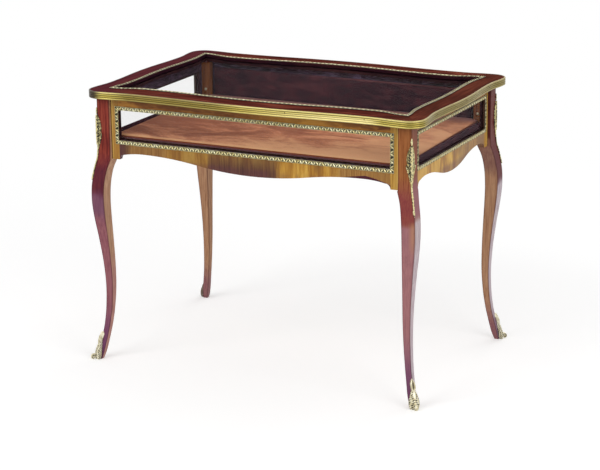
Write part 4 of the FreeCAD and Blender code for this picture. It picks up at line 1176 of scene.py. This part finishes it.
section = put("edgeSectionTool", edgeSection())
edges = edgeLines()
for side in ("front", "right", "back", "left", "corner"):
    lines = [line for label, line in edges if label == side]
    mesh = grown("edge", sweptMoulding, lineMesh("edgeLine", lines),
                 {"Section": section, "Finish": finishes["brassEdge"]})
    node = "brass_edge_" + ("corners" if side == "corner" else side)
    faceOutwards(placePiece("brassReeds_" + side, mesh, "brassEdge", "lid", [node], 50.0).data)
bpy.data.objects.remove(section)
print("brass edge made")


borderShape = {
    "width": 10.0, "lidWidth": 9.0, "height": 2.4, "lidHeight": 3.0, "pitch": 15.6, "lidPitch": 12.4,
    "rim": 0.7, "ground": 0.5, "leafHalf": 3.9, "lidLeafHalf": 3.4, "seat": 0.05, "berry": 1.15,
    "lidSteps": 12,
}
leafPath = [(-0.17, -1.0, 0.0, 0.9), (-0.10, -0.5, 0.3, 1.9), (0.01, 0.05, 0.5, 2.3), (0.10, 0.55, 0.4, 1.7),
            (0.17, 1.0, 0.0, 0.7)]  # share of the pitch, share of the half width, out, half width of the leaf


def borderProfile(width, height):
    rim, ground = borderShape["rim"], borderShape["ground"]
    # the third number of each point is painted shade: dark on the strip's sides and sunk ground, light on its
    # top
    half = [(0.0, 0.0, 1.0), (0.0, height - 0.9, 0.8), (0.15, height - 0.6, 0.2),
            (rim - 0.2, height - 0.6, 0.2), (rim, height - 1.0, 0.7), (rim + 0.15, ground, 1.0)]
    return half + [(width - offset, level, dark) for offset, level, dark in reversed(half)]


def leafUnit(name, pitch, half, rise, shade):  # one beat of the foliage: two leaning leaves and their berries
    def flat(u, z, out):
        return (u, z, out)
    parts = []
    for side in (1, -1):
        middle = -pitch / 4 * side
        path = [(middle + pitch * u, z * half * side, out, wide) for u, z, out, wide in leafPath]
        points, faces, recess = leafStrip(flat, path, rise, 0.0, 0, steps=5, across=4, ridge=0.3)
        parts.append((points, faces, [r * 0.6 + (shade if side < 0 else 0.0) for r in recess]))
        parts.append(bead(flat, middle - pitch * 0.20, 0.62 * half * side, 0.5, borderShape["berry"], 3, 6))
    points, faces, recess = gathered(parts)
    return put(name, faceOutwards(rawMesh(name, points, faces, {"recess": [min(1.0, r) for r in recess]})))


def turnTo(side, x, y):  # from the front wall to the named one
    return {"front": (x, y), "right": (-y, x), "left": (y, -x)}[side]


def makeStrip(side, loops, profile, coat, body, node):
    points, faces = band(loops)
    recess = [dark for offset, level, dark in profile for i in range(len(loops[0]))]
    marks = {"recess": recess}
    makePiece("borderStrip_" + side, points, faces, coat, body, [node], marks, 30.0)


def makeVine(side, lines, unit, pitch, outward, coat, body):
    mesh = grown("vine", runningLeaf, lineMesh("vineLine", lines),
                 {"Leaf": unit, "Pitch": pitch * mm, "Outward": outward, "Finish": finishes[coat]})
    placePiece("borderVine_" + side, mesh, coat, body, (), 60.0)


windows = {  # half width, and how far out the wall's face stands
    "front": (399.0, 285.0), "right": (231.5, 452.5), "left": (231.5, 452.5),
}
vineUnit = leafUnit("vineUnit", borderShape["pitch"], borderShape["leafHalf"], 1.7, 0.12)
lidVineUnit = leafUnit("lidVineUnit", borderShape["lidPitch"], borderShape["lidLeafHalf"], 1.3, 0.7)


def makeWindowBorder(side):
    half, face = windows[side]
    profile = borderProfile(borderShape["width"], borderShape["height"])

    def loop(offset, level):
        low, high = table["windowLow"] - offset, table["windowHigh"] + offset
        return [(*turnTo(side, x, -face - level), z) for x, z in
                ((-half - offset, low), (half + offset, low), (half + offset, high), (-half - offset, high))]
    makeStrip(side, [loop(offset, level) for offset, level, dark in profile], profile, "giltBorder", "case",
              "border_" + side)
    corners = [Vector(p) for p in loop(borderShape["width"] / 2, borderShape["ground"] - borderShape["seat"])]
    inset = borderShape["pitch"] * 0.5
    lines = []
    for start, end in zip(corners, corners[1:] + corners[:1]):
        way = (end - start).normalized()
        lines.append([start + way * inset, end - way * inset])
    outward = Vector((*turnTo(side, 0.0, -1.0), 0.0))
    makeVine(side, lines, vineUnit, borderShape["pitch"], outward, "giltBorder", "case")


def makeLidBorder():
    width, pitch, steps = borderShape["lidWidth"], borderShape["lidPitch"], borderShape["lidSteps"]
    profile = borderProfile(width, borderShape["lidHeight"])
    loops = [[(x, y, table["lidHigh"] + level) for x, y in fullLine(openingShape, offset, steps)]
             for offset, level, dark in profile]
    makeStrip("lid", loops, profile, "giltLidBorder", "lid", "lid_border")
    marks = [2 * steps + 4 * steps * q for q in range(4)]  # the four corners
    level = table["lidHigh"] + borderShape["ground"] - borderShape["seat"]
    lines = cutLoop(fullLine(openingShape, width / 2, steps), marks, level, pitch * 0.45)
    makeVine("lid", lines, lidVineUnit, pitch, Vector((0, 0, 1)), "giltLidBorder", "lid")


for side in windows:
    makeWindowBorder(side)
makeLidBorder()
bpy.data.objects.remove(vineUnit)
bpy.data.objects.remove(lidVineUnit)
print("borders made")


headShape = {
    "pin": {"radius": 1.5, "dome": 0.6, "neck": 0.0, "slot": 0.0, "segments": 12},
    "block": {"radius": 4.5, "dome": 2.4, "neck": 0.0, "slot": 1.1, "segments": 24},
    "hinge": {"radius": 2.95, "dome": 0.12, "neck": 1.0, "slot": 0.8, "segments": 20},
}


def cutSlot(head, shape):
    radius, dome, slot = shape["radius"], shape["dome"], shape["slot"]
    floor = 1.0 + dome * 0.45 - (0.5 if dome < 0.5 else 0.0)
    cutter = bpy.data.meshes.new("slotCutter")
    work = bmesh.new()
    bmesh.ops.create_cube(work, size=1.0)
    for v in work.verts:
        v.co = Vector((v.co.x * radius * 2.4, v.co.y * slot, v.co.z * 2.0 + floor)) * mm
    work.to_mesh(cutter)
    work.free()
    knife = put("slotKnife", cutter)
    modifier = head.modifiers.new("slot", "BOOLEAN")
    modifier.object, modifier.operation, modifier.solver = knife, "DIFFERENCE", "EXACT"
    head.data = evaluated(head)
    bpy.data.objects.remove(knife)


def makeHead(kind):
    shape = headShape[kind]
    radius, dome, segments = shape["radius"], shape["dome"], shape["segments"]
    profile = [(0.0, dome), (radius * 0.35, dome * 0.95), (radius * 0.65, dome * 0.74),
               (radius * 0.88, dome * 0.40), (radius, 0.0), (radius * 0.55, -shape["neck"] - 0.3)]
    points, faces = [(0.0, 0.0, profile[0][1])], []
    turns = [2 * math.pi * i / segments for i in range(segments)]
    for r, z in profile[1:]:
        points += [(r * math.cos(turn), r * math.sin(turn), z) for turn in turns]
    for i in range(segments):
        j = (i + 1) % segments
        faces.append((0, 1 + i, 1 + j))
        for r in range(len(profile) - 2):
            a, b = 1 + r * segments + i, 1 + r * segments + j
            faces.append((a, a + segments, b + segments, b))
    last = 1 + (len(profile) - 2) * segments
    faces.append(tuple(range(last + segments - 1, last - 1, -1)))
    head = put(kind + "Head", rawMesh(kind + "Head", points, faces))
    if shape["slot"] > 0:
        cutSlot(head, shape)
    return head


def seatHeads(name, places, head, coat, body, stands):  # places: (where, facing, way of the slot)
    mesh = rawMesh(name + "Points", [p for p, facing, way in places], [])
    for label, index in (("facing", 1), ("slotWay", 2)):
        layer = mesh.attributes.new(label, "FLOAT_VECTOR", "POINT")
        layer.data.foreach_set("vector", [value for place in places for value in place[index]])
    made = grown(name, seatedHeads, mesh, {"Head": head, "Finish": finishes[coat]})
    placePiece(name, made, coat, body, stands, 40.0)


def waveLevel(offset, crest, neck, neckAt):  # the lid's outline beside a crest
    rise = crest - neck
    radius = (neckAt ** 2 + rise ** 2) / (4 * rise)
    if offset <= neckAt / 2:
        return crest - radius + math.sqrt(radius ** 2 - offset ** 2)
    return neck + radius - math.sqrt(radius ** 2 - (neckAt - offset) ** 2)


screwPlaces = {
    "pinHeight": 752.5, "pinProud": 0.05, "pinsLong": (-336.0, -117.0, 117.0, 336.0),
    "pinsCross": (-181.0, 0.0, 181.0), "block": (425.5, 251.0, 660.0), "blockSlot": (0.6, 0.0, 0.8),
    "hingeAt": 290.0, "hingeSteps": (-20.0, 0.0, 20.0), "hingeY": 285.2,
}
shift, height, proud = table["lidShift"], screwPlaces["pinHeight"], screwPlaces["pinProud"]
pinPlaces = []
for sy in (-1, 1):
    for x in screwPlaces["pinsLong"]:
        out = waveLevel(abs(x), lidShape["frontCrest"], lidShape["frontNeck"], lidShape["frontNeckAt"])
        pinPlaces.append(((x, sy * (out + proud) + shift, height), (0.0, sy, 0.0), (1.0, 0.0, 0.0)))
for sx in (-1, 1):
    for y in screwPlaces["pinsCross"]:
        out = waveLevel(abs(y), lidShape["sideCrest"], lidShape["sideNeck"], lidShape["sideNeckAt"])
        pinPlaces.append(((sx * (out + proud), y + shift, height), (sx, 0.0, 0.0), (0.0, 1.0, 0.0)))
blockX, blockY, blockZ = screwPlaces["block"]
blockPlaces = [((sx * blockX, sy * blockY, blockZ), (0.0, -sy, 0.0), screwPlaces["blockSlot"])
               for sx, sy in cornerSigns.values()]
hingeAcross = [side * screwPlaces["hingeAt"] + step for side in (-1, 1) for step in screwPlaces["hingeSteps"]]
heads = {kind: makeHead(kind) for kind in headShape}
seatHeads("edgePinHeads", pinPlaces, heads["pin"], "brassPin", "lid", ["edge_pins"])
seatHeads("blockScrewHeads", blockPlaces, heads["block"], "brassScrew", "case", ["block_screws"])
for body, level, facing, turned in (("case", table["top"], 1, 0.3), ("lid", table["lidLow"], -1, 0.5)):
    places = [((x, screwPlaces["hingeY"], level), (0, 0, facing), (1, turned, 0)) for x in hingeAcross]
    seatHeads("hingeScrewHeads_" + body, places, heads["hinge"], "steelScrew", body,
              ["hinge_screws_" + body])
for head in heads.values():
    bpy.data.objects.remove(head)
print("pins and screws made")


liningShape = {"halfX": 403.0, "front": 263.0, "back": 271.0, "low": 633.0, "high": 724.0, "round": 2.5,
               "crown": 0.7, "pitchX": 12.0, "pitchZ": 9.0}
edgeSteps = (0.0, 0.12, 0.4, 1.0)  # shares of the rounding, for the grid lines beside an edge


def gridLines(low, high, pitch, near):  # close together beside both edges
    span = high - low - 2 * near
    count = max(1, round(span / pitch))
    inner = [low + near + span * i / count for i in range(1, count)]
    return [low + near * e for e in edgeSteps] + inner + [high - near * e for e in reversed(edgeSteps)]


def coveredBoard(name, us, vs, keep, distance, rounding, surface, depth, coat, stands):
    # us and vs are grid lines; surface(u, v, drop) gives a place; depth is the thickness
    index, points, faces = {}, [], []
    for i, u in enumerate(us):
        for j, v in enumerate(vs):
            index[i, j] = len(points)
            near = max(0.0, min(rounding, distance(u, v)))
            drop = rounding - math.sqrt(max(0.0, rounding ** 2 - (rounding - near) ** 2))
            points.append(surface(u, v, drop))
    shown = {}
    for i in range(len(us) - 1):
        for j in range(len(vs) - 1):
            if keep((us[i] + us[i + 1]) / 2, (vs[j] + vs[j + 1]) / 2):
                face = (index[i, j], index[i + 1, j], index[i + 1, j + 1], index[i, j + 1])
                faces.append(face)
                for a, b in zip(face, face[1:] + face[:1]):
                    shown[a, b] = True
    rim = [(a, b) for a, b in shown if (b, a) not in shown]
    base, spot = {}, {v: k for k, v in index.items()}
    for a, b in rim:
        for v in (a, b):
            if v not in base:
                i, j = spot[v]
                base[v] = len(points)
                points.append(surface(us[i], vs[j], depth))
    faces += [(b, a, base[a], base[b]) for a, b in rim]
    order, start = [rim[0][0]], dict(rim)
    while start[order[-1]] != order[0]:
        order.append(start[order[-1]])
    faces.append(tuple(base[v] for v in reversed(order)))
    used = sorted({v for face in faces for v in face})
    renumber = {v: k for k, v in enumerate(used)}
    piece = makePiece(name, [points[v] for v in used], [tuple(renumber[v] for v in face) for face in faces],
                      coat, "case", stands, None, 60.0)


def boardDistance(x, y):
    shape = boardShape
    near = min(shape["halfX"] - abs(x), y - shape["front"], shape["back"] - y)
    dx, dy = shape["notchX"] - abs(x), shape["notchY"] - abs(y)
    if dx > 0 or dy > 0:
        near = min(near, math.hypot(max(dx, 0), max(dy, 0)) if (dx > 0 and dy > 0) else max(dx, dy))
    return near


def boardSurface(x, y, drop):
    shape = boardShape
    share = (y - shape["front"]) / (shape["back"] - shape["front"])
    crown = shape["crown"] * (1 - (x / shape["halfX"]) ** 4) * (1 - (2 * share - 1) ** 4)
    ripple = 0.25 * math.sin(x * 0.021 + 1.3) * math.sin(y * 0.027) * (1 - (x / shape["halfX"]) ** 2)
    lift = 0.0 if drop > shape["round"] else crown + ripple * (crown / shape["crown"])
    return (x, y, shape["low"] + shape["rise"] * share - drop + lift)


def boardKeep(x, y):
    return not (abs(x) > boardShape["notchX"] and abs(y) > boardShape["notchY"])


def boardLines(low, high, notch):
    near = boardShape["round"]
    more = [sign * (notch - near * e) for sign in (-1, 1) for e in edgeSteps]
    return sorted({round(v, 4) for v in gridLines(low, high, boardShape["pitch"], near) + more})


coveredBoard("velvetBoard", boardLines(-boardShape["halfX"], boardShape["halfX"], boardShape["notchX"]),
             boardLines(boardShape["front"], boardShape["back"], boardShape["notchY"]), boardKeep,
             boardDistance, boardShape["round"], boardSurface, boardShape["thick"], "roseVelvet",
             ["display_velvet", "display_board"])


def liningSurface(x, z, drop):
    shape = liningShape
    middle, half = (shape["low"] + shape["high"]) / 2, (shape["high"] - shape["low"]) / 2
    crown = shape["crown"] * (1 - (x / shape["halfX"]) ** 4) * (1 - ((z - middle) / half) ** 2)
    lift = 0.0 if drop > shape["round"] else crown
    return (x, shape["front"] + drop - lift, z)


def liningDistance(x, z):
    return min(liningShape["halfX"] - abs(x), z - liningShape["low"], liningShape["high"] - z)


near, halfX = liningShape["round"], liningShape["halfX"]
coveredBoard("velvetBackLining", gridLines(-halfX, halfX, liningShape["pitchX"], near),
             gridLines(liningShape["low"], liningShape["high"], liningShape["pitchZ"], near),
             lambda x, z: True, liningDistance, near, liningSurface,
             liningShape["back"] - liningShape["front"], "plumVelvet", ["back_lining"])


stripShape = {
    "wall": 438.3, "thick": 2.7, "half": 248.0, "low": 609.0, "high": 642.0, "round": 1.2, "steps": 24,
}


def makeSideStrip(name, side):  # plum cloth strip low on each end wall, beside the display board
    shape = stripShape
    wall, thick, half, low = shape["wall"], shape["thick"], shape["half"], shape["low"]
    shoulderZ = shape["high"] - shape["round"]
    profile = [(wall, low), (wall, shoulderZ)]
    for angle in (math.pi * i / 6 for i in range(7)):
        profile.append((wall - thick / 2 * (1 - math.cos(angle)),
                        shoulderZ + shape["round"] * math.sin(angle)))
    profile.append((wall - thick, low))
    points = []
    for i in range(shape["steps"] + 1):
        y = -half + 2 * half * i / shape["steps"]
        points += [(side * x, y, z) for x, z in profile]
    makePiece(name, points, tubeFaces(shape["steps"] + 1, len(profile)), "plumVelvet", "case",
                        (), None, 50.0)


makeSideStrip("sideLining_right", 1)
makeSideStrip("sideLining_left", -1)
print("velvet boards made")


nodeCoats = {
    "lid_keys": "darkWood", "lid_beads": "darkWood", "lid_glass": "lidGlass", "back_panel": "darkWood",
    "corner_blocks": "blockWood", "bottom_board": "floorBoard", "board_bearers": "plainWood",
    "hinge_leaves_case": "brassFitting", "hinge_leaves_lid": "brassFitting", "hinge_pins": "steelScrew",
}
for side in ("front", "right", "back", "left"):
    run = "Long" if side in ("front", "back") else "Cross"
    for kind, family in (("lid_rail_", "lidWood"), ("top_rail_", "rail"), ("apron_", "panel"),
                         ("stiles_", "stile")):
        nodeCoats[kind + side] = family + run
    if side in windows:
        nodeCoats["glass_" + side], nodeCoats["beads_" + side] = "paneGlass", "darkWood"
for node, coat in nodeCoats.items():
    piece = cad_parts[node]
    piece.data.materials.clear()
    piece.data.materials.append(finishes[coat])
missing = [name for name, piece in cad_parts.items() if name not in nodeCoats and not piece.hide_render]
print("carried-over parts:", len(nodeCoats), "without a finish:", missing)


studio = {
    "sky": 0.55, "floorSize": 12.0, "fade": (0.9, 2.4), "floorLift": 0.345, "floorTone": 0.83,
    "aim": (0.0, 0.0, 0.45), "lampSize": 2.4,
    "lamps": {"key": ((-1.6, -3.2, 3.2), 55.0), "fill": ((3.4, -1.6, 2.2), 40.0),
              "back": ((0.5, 3.0, 3.0), 25.0)},
}
lens = {"place": (2.4207, -4.8811, 1.8915), "azimuth": 26.376, "elevation": 15.983, "roll": -0.693,
        "length": 122.634, "sensor": 36.0, "near": 0.1, "far": 100.0}


def buildFloor():
    half, tone = studio["floorSize"] / 2, studio["floorTone"]
    mesh = bpy.data.meshes.new("studioFloor")
    mesh.from_pydata([(-half, -half, 0), (half, -half, 0), (half, half, 0), (-half, half, 0)], [],
                     [(0, 1, 2, 3)])
    material = bpy.data.materials.new("paleFloor")
    material.use_nodes = True
    material.node_tree.nodes.clear()
    bench = Bench(material.node_tree)
    spot = bench.add("ShaderNodeTexCoord", {}, {}, "Object")
    seen = bench.onScreen()
    soft = bench.add("ShaderNodeBsdfDiffuse", {}, {"Color": (tone, tone, tone, 1.0)})
    glow = bench.add("ShaderNodeEmission", {}, {"Strength": studio["floorLift"]})
    lifted = bench.add("ShaderNodeAddShader", {}, {0: soft, 1: glow})
    near = bench.add("ShaderNodeMixShader", {}, {0: seen, 1: soft, 2: lifted})
    far = bench.add("ShaderNodeVectorMath", {"operation": "LENGTH"}, {0: spot}, "Value")
    white = bench.add("ShaderNodeEmission", {}, {"Strength": 1.0})
    distant = bench.ease(far, *studio["fade"]) * seen
    whole = bench.add("ShaderNodeMixShader", {}, {0: distant, 1: near, 2: white})
    bench.add("ShaderNodeOutputMaterial", {}, {"Surface": whole}, None)
    mesh.materials.append(material)
    put("studioFloor", mesh)


def buildSky():
    world = bpy.data.worlds.new("softSky")
    bpy.context.scene.world = world
    world.use_nodes = True
    world.node_tree.nodes.clear()
    bench = Bench(world.node_tree)
    sky, backdrop = (bench.add("ShaderNodeBackground", {}, {"Color": (1, 1, 1, 1), "Strength": strength})
                     for strength in (studio["sky"], 1.0))
    both = bench.add("ShaderNodeMixShader", {}, {0: bench.onScreen(), 1: sky, 2: backdrop})
    bench.add("ShaderNodeOutputWorld", {}, {"Surface": both}, None)


def buildLamps():
    for name, (place, power) in studio["lamps"].items():
        lamp = bpy.data.lights.new(name + "Lamp", "AREA")
        lamp.shape, lamp.size, lamp.energy = "SQUARE", studio["lampSize"], power
        thing = put(name + "Lamp", lamp)
        thing.location = place
        thing.rotation_euler = (Vector(studio["aim"]) - Vector(place)).to_track_quat("-Z", "Y").to_euler()


def buildCamera():
    a, e, r = (math.radians(lens[key]) for key in ("azimuth", "elevation", "roll"))
    back = Vector((math.sin(a) * math.cos(e), -math.cos(a) * math.cos(e), math.sin(e)))
    right = (-back).cross(Vector((0, 0, 1))).normalized()
    up = right.cross(-back)
    turnedRight = right * math.cos(r) + up * math.sin(r)
    turnedUp = up * math.cos(r) - right * math.sin(r)
    data = bpy.data.cameras.new("viewCamera")
    data.sensor_fit, data.sensor_width, data.lens = "HORIZONTAL", lens["sensor"], lens["length"]
    data.clip_start, data.clip_end = lens["near"], lens["far"]
    camera = put("viewCamera", data)
    rotation = Matrix((turnedRight, turnedUp, back)).transposed().to_4x4()
    camera.matrix_world = Matrix.Translation(lens["place"]) @ rotation
    bpy.context.scene.camera = camera


buildFloor()
buildSky()
buildLamps()
buildCamera()
bpy.context.scene.view_settings.view_transform = "Standard"
print("studio made")
